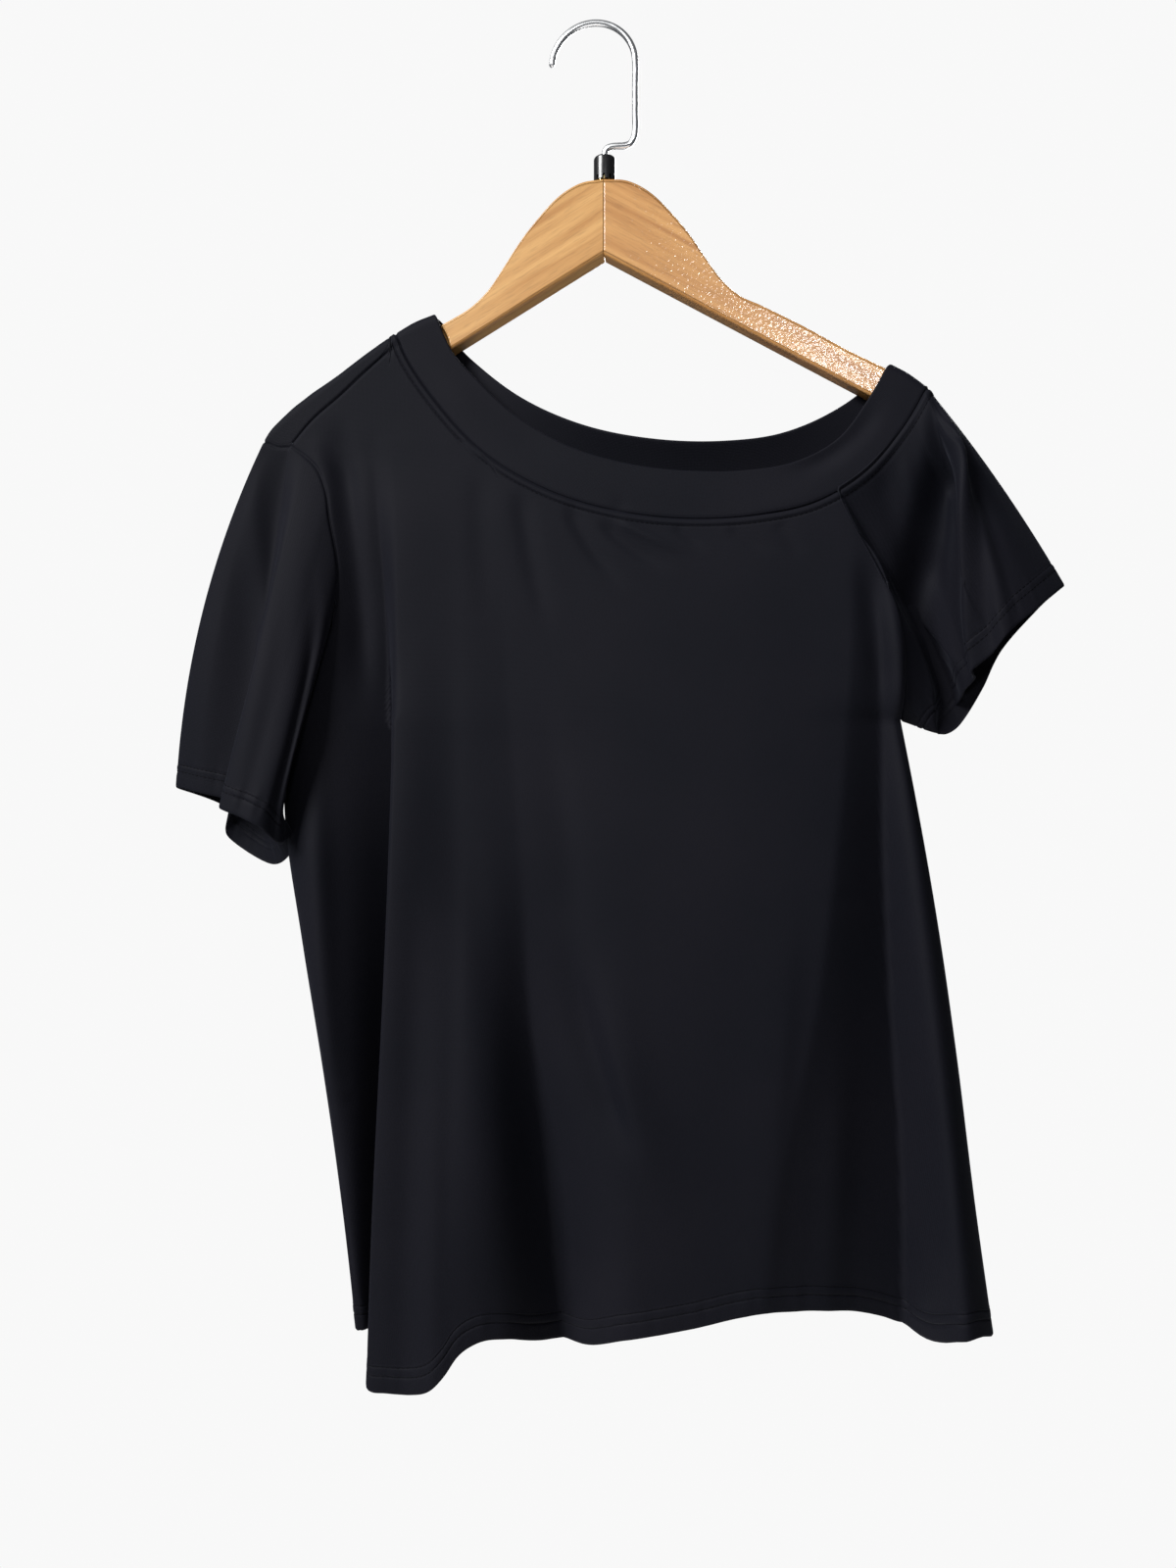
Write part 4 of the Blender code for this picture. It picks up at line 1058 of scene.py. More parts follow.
def sleeve(name, start_ring, lines, creases, seams, neck, reverse):
    """Sleeve: a closed ring of columns round the arm, rows from the armhole to the hem. Each line
    runs straight from armhole to hem but for its bow, a parabola that is full half way, and the
    creases, seams and hem are moved along the outward normal. A sleeve whose ring runs to the left
    as seen from outside is reversed. Returns what panel returns."""
    lines = np.asarray(lines)
    turn = np.arange(SLEEVE_COLUMNS) / SLEEVE_COLUMNS
    starts = np.interp(turn * len(lines), np.arange(len(lines) + 1), np.append(lines[:, 0], 1.0))
    start = at_fraction(start_ring, starts)
    hem = ring_spline(lines[:, 1:4], turn)
    bow = ring_spline(lines[:, 4:7], turn)
    length = np.linalg.norm(hem - start, axis=1).mean()
    hem_rows = 1.0 - np.asarray(SLEEVE_HEM_ROWS) / length
    middle = np.linspace(SLEEVE_TOP_ROWS[-1], hem_rows[0], SLEEVE_ROWS)[1:-1]
    share = np.concatenate([SLEEVE_TOP_ROWS, middle, hem_rows])
    down = share[:, None, None]
    grid = start * (1.0 - down) + hem * down + 4.0 * down * (1.0 - down) * bow
    soft = np.zeros(grid.shape[:2])
    for start_down, end_down, start_turn, middle_turn, end_turn, height, width in creases:
        place = (share - start_down) / (end_down - start_down)
        straight = start_turn + (end_turn - start_turn) * place
        bend = 4.0 * (middle_turn - (start_turn + end_turn) / 2.0)
        centre = straight + bend * place * (1.0 - place)
        gap = (turn[None, :] - centre[:, None] + 0.5) % 1.0 - 0.5
        shown = smooth_step(place, *CREASE_FADES_IN) * (1.0 - smooth_step(place, *CREASE_FADES_OUT))
        soft += height * shown[:, None] * np.exp(-((gap / width) ** 2))
    if reverse:
        grid, soft = grid[:, ::-1], soft[:, ::-1]
    grid = grid + outward(grid, closed=True) * soft[..., None]
    normal = outward(grid, closed=True)
    from_seam = np.min([distance_to(line, grid) for line in seams], axis=0)
    relief = seam_relief(from_seam)
    from_neck = None
    if neck is not None:
        from_neck = distance_to(neck, grid)
        relief = relief + neck_relief(from_neck)
    from_hem = up_from_hem(grid)
    round_run = lengths(grid[-1])
    relief = relief + hem_relief(from_hem, round_run[None, :], SLEEVE_STITCHES)
    grid = grid + normal * relief[..., None]
    piece = cloth_piece(name, grid, round_run, -share[:, None] * length, closed=True)
    return piece, grid, normal, from_neck, from_hem


left_ring = np.vstack([front_left_seam[::-1], back_left_seam[1:]])
sleeve_left, left_grid, left_normal, _, left_from_hem = sleeve(
    "left_sleeve", left_ring, LEFT_SLEEVE, LEFT_SLEEVE_CREASES, (left_ring,), None, True
)
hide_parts("sleeve_left")


# Right sleeve
# The same jersey sleeve, but its head is cut off level: the neckband's seam runs over its top from
# the front armhole to the back one, so that the shoulder stays bare when the shirt is worn.

RIGHT_SLEEVE = (
    (0.00, 211.0, 6.0, -441.0, 0.0, 0.0, 0.0),
    (0.12, 214.0, 3.0, -428.0, 1.0, 4.0, 0.0),
    (0.26, 222.0, -2.0, -417.0, 0.0, 9.0, 0.0),
    (0.37, 231.0, -9.0, -407.0, 0.0, 9.0, 0.0),
    (0.44, 237.0, -22.0, -394.0, 2.0, 0.0, 0.0),
    (0.462, 244.0, -28.0, -384.0, 3.0, -6.0, 0.0),
    (0.48, 258.0, -23.0, -372.0, 0.0, -5.0, 0.0),
    (0.49, 272.0, -13.0, -361.0, 2.0, -3.0, 1.0),
    (0.50, 283.0, 2.0, -353.0, 2.0, 0.0, 2.0),
    (0.53, 272.0, 15.0, -364.0, 0.0, 3.0, 0.0),
    (0.64, 252.0, 22.0, -388.0, 0.0, 5.0, 0.0),
    (0.78, 240.0, 20.0, -412.0, 0.0, 4.0, 0.0),
    (0.91, 224.0, 15.0, -436.0, 0.0, 2.0, 0.0),
)
RIGHT_SLEEVE_CREASES = (
    (0.03, 1.05, 0.415, 0.220, 0.080, -18.0, 0.052),
    (0.02, 1.20, 0.520, 0.335, 0.220, 10.0, 0.029),
    (0.02, 0.45, 0.270, 0.262, 0.250, 1.0, 0.016),
    (0.02, 0.40, 0.225, 0.222, 0.215, -1.0, 0.012),
    (0.30, 1.15, 0.480, 0.440, 0.400, -1.6, 0.030),
    (0.10, 1.15, 0.660, 0.670, 0.680, -2.0, 0.030),
    (0.20, 1.15, 0.800, 0.810, 0.820, 2.0, 0.035),
)

# The band's seam over the sleeve starts this far beyond the tops of the armholes
SLEEVE_TOP_GAP = 0.5

right_of_front = neck_front[neck_front[:, 0] > front_right_seam[0, 0] + SLEEVE_TOP_GAP]
right_of_back = neck_back[neck_back[:, 0] > back_right_seam[0, 0] + SLEEVE_TOP_GAP]
sleeve_top = np.vstack([right_of_front, right_of_back[::-1][1:]])
right_ring = np.vstack([front_right_seam[::-1], sleeve_top, back_right_seam])
sleeve_right, right_grid, right_normal, right_from_neck, right_from_hem = sleeve(
    "right_sleeve", right_ring, RIGHT_SLEEVE, RIGHT_SLEEVE_CREASES,
    (front_right_seam, back_right_seam), sleeve_top, False,
)
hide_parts("sleeve_right")


# Neckband
# A strip of the same jersey folded along its length and sewn on double all round the neck opening.
# Its folded edge stands free, and it goes over both arms of the hanger.

BAND_THICKNESS = 2.2
BAND_WIDTH = 29.0
BAND_COLUMNS_A_SIDE = 240
BAND_ROWS = (
    (1.0, 0.985, 0.96, 0.92, 0.86, 0.78, 0.69, 0.6, 0.51, 0.42, 0.33, 0.25, 0.18, 0.12)
    + (0.08, 0.055, 0.038, 0.024, 0.012, 0.004, 0.0)
)

# The band swells half way across, and is pressed thinner from close to its seam
BAND_SWELL = 0.25
PRESSED_FROM = 0.95
PRESSED_BY = 0.45

# Width of the strip that closes the band along its seam, on the flat cloth
CLOSING_STRIP = 1.0

# How far the back half's free edge leans forward in the middle, and how that grows up the band
BACK_LEAN = 11.0
BACK_LEAN_POWER = 1.3

# Soft hollows on the band: share along its front half and share across it, height, half widths
BAND_DIPS = (
    (0.80, 0.24, -2.0, 0.055, 0.20),
    (0.88, 0.30, -1.2, 0.035, 0.22),
    (0.72, 0.85, 0.8, 0.06, 0.25),
    (0.47, 0.92, -0.5, 0.012, 0.16),
    (0.30, 0.30, -0.6, 0.05, 0.30),
    (0.16, 0.55, 0.7, 0.05, 0.35),
)


def neckband_grid():
    """Cross-section all round the neck: out on the outer face from the seam to the folded edge,
    round the edge, and back on the inner face. The thickness is a half circle at the fold, and
    even from there to the pressed seam."""
    share = np.asarray(BAND_ROWS)[:, None]
    halves = []
    for rows, side in ((BAND_FRONT, -1), (BAND_BACK, 1)):
        stations = band_half(rows, BAND_COLUMNS_A_SIDE)
        if side > 0:
            stations = stations[::-1]
        stations = stations[:-1]
        x = stations[:, 0] * (1.0 - share) + stations[:, 2] * share
        height = stations[:, 1] * (1.0 - share) + stations[:, 3] * share
        face = roll(body_across(x, height), x, height, side)
        if side > 0:
            lean = np.sin(np.pi * np.linspace(0.0, 1.0, len(stations)))[None, :]
            face[..., 1] -= BACK_LEAN * (1.0 - share) ** BACK_LEAN_POWER * lean
        halves.append(face)
    outer = np.hstack(halves)[::-1]
    normal = outward(outer, closed=True)
    share = np.asarray(BAND_ROWS)[::-1]
    place = np.arange(outer.shape[1]) / (BAND_COLUMNS_A_SIDE - 1)
    dips = np.zeros(outer.shape[:2])
    for along_at, across_at, height, along_width, across_width in BAND_DIPS:
        bell = np.exp(-(((place - along_at) / along_width) ** 2))[None, :]
        dips += height * bell * np.exp(-(((share - across_at) / across_width) ** 2))[:, None]
    fold = BAND_THICKNESS / 2.0 / BAND_WIDTH
    round_edge = np.sqrt(1.0 - ((fold - np.minimum(share, fold)) / fold) ** 2)
    pressed = 1.0 - PRESSED_BY * smooth_step(share, PRESSED_FROM, 1.0)
    half = BAND_THICKNESS / 2.0 * round_edge * pressed
    full = BAND_SWELL * np.sin(np.pi * np.clip(share, 0.0, 1.0)) ** 2
    middle = outer + normal * (dips - BAND_THICKNESS / 2.0)[..., None]
    out = middle + normal * (half + full)[:, None, None]
    inside = middle - normal * half[:, None, None]
    return np.vstack([inside[::-1], out[1:]])


band_grid = neckband_grid()
band_index = point_numbers(*band_grid.shape[:2], closed_across=True, closed_down=True)
band_faces = cell_corners(band_index).reshape(-1, 4).tolist()
neck_band = new_piece("neck_band", band_grid, band_faces, jersey)
neck_band.data.shade_smooth()
band_run = lengths(np.vstack([band_grid[0], band_grid[:1, 0]]))
band_down = lengths(band_grid[:, 0])
band_down = np.append(band_down, band_down[-1] + CLOSING_STRIP)
lay_flat(neck_band, band_run, band_down[:, None])
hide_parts("neckband")


# Stitching
# Black polyester thread: one row of topstitching beside the neckband's seam, and two rows of the
# twin needle round the body's hem and round each sleeve's hem.

STITCH_LENGTH = 2.5
STITCH_PITCH = 3.1
STITCH_HALF_WIDTH = 0.3
STITCH_HALF_HEIGHT = 0.26
STITCH_RINGS = 5
STITCH_SIDES = 6

# How far a stitch narrows at its ends, as the share taken from the square of its girth
STITCH_TAPER = 0.92

# How far before and after a stitch the line's direction is read
STITCH_PROBE = 0.5

THREAD_DARK = (0.0012, 0.0012, 0.0020)
THREAD_LIGHT = (0.0030, 0.0030, 0.0045)


def line_at(grid, normal, distance, level):
    """Where each column crosses a distance from the seam or hem, with the normal there; columns
    that never cross it are left out."""
    above = distance > level
    change = above[1:] != above[:-1]
    crosses = change.any(axis=0)
    row = change.argmax(axis=0)[crosses]
    column = np.nonzero(crosses)[0]
    first, second = distance[row, column], distance[row + 1, column]
    share = ((level - first) / (second - first))[:, None]
    point = grid[row, column] * (1.0 - share) + grid[row + 1, column] * share
    facing = normal[row, column] * (1.0 - share) + normal[row + 1, column] * share
    return point, facing / np.linalg.norm(facing, axis=1, keepdims=True)


def stitch_row(points, facings):
    """Small pointed ellipsoids laid end to end along a line: rings of points round the thread,
    whose girth is the root of 1 less the tapered square of the place along the stitch."""
    knots = lengths(points)
    places = np.arange(STITCH_PITCH / 2.0, knots[-1], STITCH_PITCH)
    centre = straight_between(knots, points, places)
    facing = straight_between(knots, facings, places)
    ahead = straight_between(knots, points, places + STITCH_PROBE)
    run = ahead - straight_between(knots, points, places - STITCH_PROBE)
    run /= np.maximum(np.linalg.norm(run, axis=1, keepdims=True), LEAST_LENGTH)
    facing -= run * (facing * run).sum(axis=1, keepdims=True)
    facing /= np.linalg.norm(facing, axis=1, keepdims=True)
    side = np.cross(facing, run)
    lengthwise = np.linspace(-1.0, 1.0, STITCH_RINGS)
    girth = np.sqrt(1.0 - STITCH_TAPER * lengthwise**2)
    angle = np.arange(STITCH_SIDES) / STITCH_SIDES * 2.0 * math.pi
    local_run = np.repeat(lengthwise, STITCH_SIDES) * STITCH_LENGTH / 2.0
    local_side = np.outer(girth, np.cos(angle)).ravel() * STITCH_HALF_WIDTH
    local_up = np.outer(girth, np.sin(angle)).ravel() * STITCH_HALF_HEIGHT
    vertices = centre[:, None] + run[:, None] * local_run[:, None]
    vertices = vertices + side[:, None] * local_side[:, None] + facing[:, None] * local_up[:, None]
    walls = cell_corners(point_numbers(STITCH_RINGS, STITCH_SIDES, closed_across=True))
    return vertices.reshape(-1, 3), walls.reshape(-1, 4), len(places)


def stitching(name, lines):
    """One piece from all the rows of stitches that belong to a seam, with the ends filled."""
    a_stitch = STITCH_RINGS * STITCH_SIDES
    vertices, faces, ends, offset = [], [], [], 0
    for points, facings in lines:
        row, walls, count = stitch_row(points, facings)
        starts = offset + np.arange(count) * a_stitch
        vertices.append(row)
        faces += (starts[:, None, None] + walls[None]).reshape(-1, 4).tolist()
        first = starts[:, None] + np.arange(STITCH_SIDES)[::-1]
        last = starts[:, None] + a_stitch - STITCH_SIDES + np.arange(STITCH_SIDES)
        ends += first.tolist() + last.tolist()
        offset += len(row)
    piece = new_piece(name, np.vstack(vertices), faces + ends, thread)
    piece.data.shade_smooth()
    return piece


def hem_stitching(name, grid, normal, from_hem, rows):
    """The two rows of the twin needle round a hem."""
    return stitching(name, [line_at(grid, normal, from_hem, row) for row in rows])


def thread_material():
    """Black polyester thread: dark, with a fine twist in the bump and a faint shine."""
    made, tree, shader = new_material("Sewing_thread")
    shader.inputs["Roughness"].default_value = 0.7
    shader.inputs["Specular IOR Level"].default_value = 0.06
    place = tree.nodes.new("ShaderNodeTexCoord").outputs["Object"]
    twist = noise(tree, place, scale=2400.0)
    tree.links.new(tones(tree, twist, THREAD_DARK, THREAD_LIGHT), shader.inputs["Base Color"])
    twisted = bump(tree, twist, strength=0.4, distance=0.0001)
    tree.links.new(twisted.outputs["Normal"], shader.inputs["Normal"])
    return made


thread = thread_material()
neck_lines = [
    line_at(front_grid, front_normal, front_from_neck, TOPSTITCH_FROM_SEAM),
    line_at(back_grid, back_normal, back_from_neck, TOPSTITCH_FROM_SEAM),
    line_at(right_grid, right_normal, right_from_neck, TOPSTITCH_FROM_SEAM),
]
neck_stitching = stitching("neck_topstitching", neck_lines)
front_hem_stitching = hem_stitching(
    "front_hem_stitching", front_grid, front_normal, front_from_hem, HEM_STITCHES
)
back_hem_stitching = hem_stitching(
    "back_hem_stitching", back_grid, back_normal, back_from_hem, HEM_STITCHES
)
left_hem_stitching = hem_stitching(
    "left_sleeve_stitching", left_grid, left_normal, left_from_hem, SLEEVE_STITCHES
)
right_hem_stitching = hem_stitching(
    "right_sleeve_stitching", right_grid, right_normal, right_from_hem, SLEEVE_STITCHES
)


# Hanger boards
# Two flat beech boards, 13 mm thick, glued together in an upright mitre under the hook. They are
# rounded over along all edges and lacquered. Near the shoulder a scoop for straps is cut into both
# faces of the left board.

HANGER_X = 7.0
BOARD_THICKNESS = 13.0
BOARD_ROUNDING = 2.0
MITRE_GAP = 0.3
BOARD_STATIONS = 260
FACE_ROWS = 44
CORNER_ROWS = 7

# The stations close up towards the tip of the arm, from this share of its length
TIP_FROM = 0.93
TIP_STATIONS = 24

# Half the height of the straight stretch that is left between two roundings at the tip
LEAST_STRAIGHT = 0.05

# Top and underside of the right board, outwards: x from the mitre, z. Both boards start alike.
BOARD_NECK = (
    (0.0, -98.0),
    (15.0, -100.0),
    (30.0, -109.0),
    (41.0, -120.5),
    (52.0, -134.0),
    (62.0, -149.0),
    (71.0, -162.0),
    (81.0, -172.0),
)
RIGHT_TOP = BOARD_NECK + (
    (96.0, -180.0),
    (121.0, -193.5),
    (150.0, -210.5),
    (170.0, -221.0),
    (181.0, -227.0),
    (189.0, -233.5),
    (194.0, -241.0),
    (196.0, -249.0),
)
RIGHT_UNDERSIDE = (
    (0.0, -145.0),
    (120.0, -214.0),
    (188.0, -253.0),
    (193.0, -254.5),
    (196.0, -251.0),
)

# The same for the left board, whose end is a little deeper
LEFT_TOP = BOARD_NECK + (
    (96.0, -181.0),
    (105.0, -185.5),
    (109.0, -187.5),
    (121.0, -194.0),
    (135.0, -202.0),
    (152.0, -212.0),
    (169.0, -223.5),
    (184.0, -235.0),
    (192.0, -244.5),
    (195.0, -252.0),
)
LEFT_UNDERSIDE = (
    (0.0, -145.0),
    (120.0, -214.0),
    (188.0, -254.0),
    (192.0, -256.5),
    (195.0, -255.0),
)

# The scoop: its circle in x and z, the width of its wall, and how far it sinks each face
SCOOP_RADIUS = 21.0
SCOOP_WALL = 0.5
SCOOP_DEPTH = 3.0
SCOOP_CENTRE = (-110.5, -199.5)


def board_grid(top, underside, direction, scooped):
    """A board as upright cross-sections along the arm, each a rectangle with its four edges
    rounded over as quarter circles: up the front face, back over the top, down the back face and
    forward under the bottom. The scoop sinks both faces inside its circle."""
    top, underside = np.asarray(top), np.asarray(underside)
    reach = top[-1, 0]
    even = np.linspace(0.0, reach * TIP_FROM, BOARD_STATIONS)
    to_tip = 1.0 - np.linspace(0.0, 1.0, TIP_STATIONS)[1:]
    places = np.concatenate([even, reach - (reach - even[-1]) * to_tip**2])
    high = spline(top[:, 0], top[:, 1], places)[:, 0]
    low = np.interp(places, underside[:, 0], underside[:, 1])
    half = BOARD_THICKNESS / 2.0
    radius = np.minimum(BOARD_ROUNDING, (high - low) / 2.0 - LEAST_STRAIGHT)[:, None]
    high, low = high[:, None], low[:, None]
    quarter = np.linspace(0.0, math.pi / 2.0, CORNER_ROWS)[None, :]
    up = np.linspace(0.0, 1.0, FACE_ROWS)[None, :]
    face_z = (low + radius) * (1.0 - up) + (high - radius) * up
    sections = [
        (np.broadcast_to(-half, face_z.shape), face_z),
        (-half + radius * (1.0 - np.cos(quarter)), high - radius * (1.0 - np.sin(quarter))),
        (half - radius * (1.0 - np.sin(quarter)), high - radius * (1.0 - np.cos(quarter))),
        (np.broadcast_to(half, face_z.shape), face_z[:, ::-1]),
        (half - radius * (1.0 - np.cos(quarter)), low + radius * (1.0 - np.sin(quarter))),
        (-half + radius * (1.0 - np.sin(quarter)), low + radius * (1.0 - np.cos(quarter))),
    ]
    y = np.hstack([part[0] for part in sections])
    z = np.hstack([part[1] for part in sections])
    x = HANGER_X + direction * (MITRE_GAP / 2.0 + places[:, None]) + 0.0 * y
    if scooped:
        from_centre = np.hypot(x - SCOOP_CENTRE[0], z - SCOOP_CENTRE[1])
        sunk = 1.0 - smooth_step(from_centre, SCOOP_RADIUS - SCOOP_WALL, SCOOP_RADIUS)
        y = y * (1.0 - sunk * SCOOP_DEPTH / half)
    return np.stack([x, y, z], axis=-1)


def closed_loft(name, grid, finish):
    """A mesh from rings of points, one after the other, with both ends filled. The rings turn the
    other way round than a cloth's rows, and so do the corners of its faces."""
    index = point_numbers(*grid.shape[:2], closed_across=True)
    faces = cell_corners(index)[..., [0, 3, 2, 1]].reshape(-1, 4).tolist()
    faces += [index[0, :-1][::-1].tolist(), index[-1, :-1].tolist()]
    piece = new_piece(name, grid, faces, finish)
    piece.data.shade_smooth()
    return piece


def mapped(tree, vector, **values):
    """A vector turned or stretched by a Mapping node."""
    node = add_node(tree, "ShaderNodeMapping", **values)
    tree.links.new(vector, node.inputs["Vector"])
    return node.outputs["Vector"]


def beech_material(name, tilt, light, dark, coat):
    """Lacquered beech: long streaks of two honey tones along the arm, short dark flecks of the
    rays, fine pores in the bump, and a clear coat that is rippled like orange peel."""
    made, tree, shader = new_material(name)
    shader.inputs["Roughness"].default_value = 0.38
    shader.inputs["Coat Weight"].default_value = coat
    shader.inputs["Coat Roughness"].default_value = 0.14
    place = tree.nodes.new("ShaderNodeTexCoord").outputs["Object"]
    turned = mapped(tree, place, Rotation=(0.0, tilt, 0.0))
    along_grain = mapped(tree, turned, Scale=(7.0, 120.0, 150.0))
    streaks = noise(tree, along_grain, scale=1.0, detail=4.0, distortion=0.35)
    honey = tones(tree, streaks, dark, light, low=0.33, high=0.66)
    flecks = noise(tree, mapped(tree, turned, Scale=(90.0, 900.0, 1100.0)), scale=1.0)
    rays = ranged(tree, flecks, to_low=0.82, to_high=1.0, from_low=0.3, from_high=0.5)
    tree.links.new(shaded(tree, honey, rays), shader.inputs["Base Color"])
    pores = bump(tree, flecks, strength=0.12, distance=0.0002)
    tree.links.new(pores.outputs["Normal"], shader.inputs["Normal"])
    ripple = bump(tree, noise(tree, place, scale=520.0, detail=1.5), strength=0.5, distance=0.0005)
    tree.links.new(ripple.outputs["Normal"], shader.inputs["Coat Normal"])
    return made


# The grain follows the arm: its fall over its length, along the left board's underside
ARM_TILT = math.atan2(LEFT_UNDERSIDE[0][1] - LEFT_UNDERSIDE[2][1], LEFT_UNDERSIDE[2][0])

# Light and dark streaks of each board, and how strongly its lacquer shines
LEFT_BEECH = ((0.56, 0.31, 0.105), (0.39, 0.18, 0.046), 0.3)
RIGHT_BEECH = ((0.54, 0.28, 0.09), (0.36, 0.155, 0.038), 0.7)

beech_left = beech_material("Beech_left", ARM_TILT, *LEFT_BEECH)
left_sections = board_grid(LEFT_TOP, LEFT_UNDERSIDE, -1.0, True)[::-1]
left_board = closed_loft("left_board", left_sections, beech_left)
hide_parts("hanger_left")

beech_right = beech_material("Beech_right", -ARM_TILT, *RIGHT_BEECH)
right_sections = board_grid(RIGHT_TOP, RIGHT_UNDERSIDE, 1.0, False)
right_board = closed_loft("right_board", right_sections, beech_right)
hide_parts("hanger_right")


# Hook
# Chromed steel wire, 3.8 mm thick, bent round over the rail with a square shoulder at the back of
# the neck, and screwed into the top of the mitre.

WIRE_RADIUS = 1.9
CROWN_RADIUS = 26.0
CROWN_POINTS = 25
HOOK_STATIONS = 320
WIRE_SIDES = 28
WIRE_END_RADIUS = 0.02
CHROME_COLOUR = (0.90, 0.91, 0.92)
CHROME_ROUGHNESS = 0.3


def hook_path():
    """Middle line of the wire in the hanger's plane: a half circle over the rail, straight down,
    a small rounded corner inwards, and down the stem."""
    crown_z = WIRE_RADIUS - CROWN_RADIUS
    turn = np.linspace(math.pi, 0.0, CROWN_POINTS)
    crown = np.stack([CROWN_RADIUS * np.cos(turn), crown_z + CROWN_RADIUS * np.sin(turn)], axis=1)
    rest = [
        (CROWN_RADIUS, -40.0),
        (CROWN_RADIUS, -56.0),
        (CROWN_RADIUS, -66.0),
        (CROWN_RADIUS - 0.3, -69.0),
        (CROWN_RADIUS - 1.4, -72.2),
        (CROWN_RADIUS - 3.6, -74.6),
        (CROWN_RADIUS - 6.6, -75.4),
        (HANGER_X + 7.0, -75.4),
        (HANGER_X + 4.2, -75.6),
        (HANGER_X + 1.8, -76.4),
        (HANGER_X + 0.4, -78.2),
        (HANGER_X, -81.0),
        (HANGER_X, -88.0),
        (HANGER_X, -97.7),
    ]
    return along(np.vstack([crown, rest]), HOOK_STATIONS)


def wire_grid(path):
    """Circles square to the path, whose girth falls off at both ends as a quarter circle, so that
    they close as round caps."""
    run = np.gradient(path, axis=0)
    run /= np.linalg.norm(run, axis=1, keepdims=True)
    from_end = np.minimum(lengths(path), lengths(path[::-1])[::-1])
    short_of_full = 1.0 - np.clip(from_end / WIRE_RADIUS, 0.0, 1.0)
    girth = WIRE_RADIUS * np.sqrt(1.0 - short_of_full**2) + WIRE_END_RADIUS
    angle = np.arange(WIRE_SIDES) / WIRE_SIDES * 2.0 * math.pi
    off = girth[:, None] * np.cos(angle)
    x = path[:, :1] - run[:, 1:] * off
    z = path[:, 1:] + run[:, :1] * off
    return np.stack([x, girth[:, None] * np.sin(angle), z], axis=-1)


def metal_material(name, colour, roughness):
    """Bright polished metal, with faint smears in the roughness."""
    made, tree, shader = new_material(name)
    shader.inputs["Base Color"].default_value = (*colour, 1.0)
    shader.inputs["Metallic"].default_value = 1.0
    place = tree.nodes.new("ShaderNodeTexCoord").outputs["Object"]
    smear = noise(tree, place, scale=120.0)
    polish = ranged(tree, smear, to_low=roughness * 0.7, to_high=roughness * 1.4)
    tree.links.new(polish, shader.inputs["Roughness"])
    return made


chrome = metal_material("Chromed_wire", CHROME_COLOUR, CHROME_ROUGHNESS)
wire = closed_loft("wire_hook", wire_grid(hook_path()), chrome)
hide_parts("hook")


# Size cap and ferrule
# A glossy black cap pushed over the foot of the hook, its skirt slotted all round so that the brass
# ferrule under it shows.

CAP_RADIUS = 6.75
CAP_TOP_Z = -82.6
CAP_FOOT_Z = -97.7
CAP_CHAMFER = 1.6
CAP_BORE_RADIUS = 2.3
CAP_SKIRT_RADIUS = 5.5
CAP_SKIRT_HEIGHT = 5.0
SLOT_COUNT = 10
SLOT_WIDTH = 1.5
SLOT_HEIGHT = 2.6

# How finely the cap is divided, and the angle from which its edges are sharp
CAP_SIDES = 240
CAP_BEVEL_POINTS = 9
TOOTH_COLUMNS = 7
CAP_SHARP_ANGLE = math.radians(40.0)

# How far the skirt's teeth reach up into the cap
TOOTH_OVERLAP = 0.05

CAP_BLACK = (0.010, 0.010, 0.011, 1.0)
BRASS_COLOUR = (0.80, 0.62, 0.30)
BRASS_ROUGHNESS = 0.2


def turned_piece(name, profile, finish):
    """A ring of points turned about the stem: profile rows of radius and z go down the outside and
    up the bore."""
    profile = np.asarray(profile, float)
    angle = np.arange(CAP_SIDES) / CAP_SIDES * 2.0 * math.pi
    x = HANGER_X + profile[:, :1] * np.cos(angle)
    y = profile[:, :1] * np.sin(angle)
    z = profile[:, 1:] + 0.0 * angle
    index = point_numbers(len(profile), CAP_SIDES, closed_across=True, closed_down=True)
    faces = cell_corners(index).reshape(-1, 4).tolist()
    piece = new_piece(name, np.stack([x, y, z], axis=-1), faces, finish)
    piece.data.shade_smooth()
    piece.data.set_sharp_from_angle(angle=CAP_SHARP_ANGLE)
    return piece


def cap_material():
    """Glossy black plastic with a slight moulded orange-peel and softly uneven gloss."""
    made, tree, shader = new_material("Black_cap_plastic")
    shader.inputs["Base Color"].default_value = CAP_BLACK
    place = tree.nodes.new("ShaderNodeTexCoord").outputs["Object"]
    peel = noise(tree, place, scale=500.0)
    gloss = ranged(tree, peel, to_low=0.22, to_high=0.36)
    tree.links.new(gloss, shader.inputs["Roughness"])
    moulded = bump(tree, peel, strength=0.1, distance=0.0001)
    tree.links.new(moulded.outputs["Normal"], shader.inputs["Normal"])
    return made


def cap_profile():
    """Down the outside from the bore's top edge, round a quarter circle and down to the slots, and
    up inside the skirt."""
    turn = np.linspace(math.pi / 2.0, 0.0, CAP_BEVEL_POINTS)
    bevel_radius = CAP_RADIUS - CAP_CHAMFER * (1.0 - np.cos(turn))
    bevel_z = CAP_TOP_Z - CAP_CHAMFER * (1.0 - np.sin(turn))
    skirt_top, slot_top = CAP_FOOT_Z + CAP_SKIRT_HEIGHT, CAP_FOOT_Z + SLOT_HEIGHT
    return [
        (CAP_BORE_RADIUS, CAP_TOP_Z),
        *zip(bevel_radius, bevel_z),
        (CAP_RADIUS, skirt_top),
        (CAP_RADIUS, slot_top),
        (CAP_SKIRT_RADIUS, slot_top),
        (CAP_SKIRT_RADIUS, skirt_top),
        (CAP_BORE_RADIUS, skirt_top),
    ]


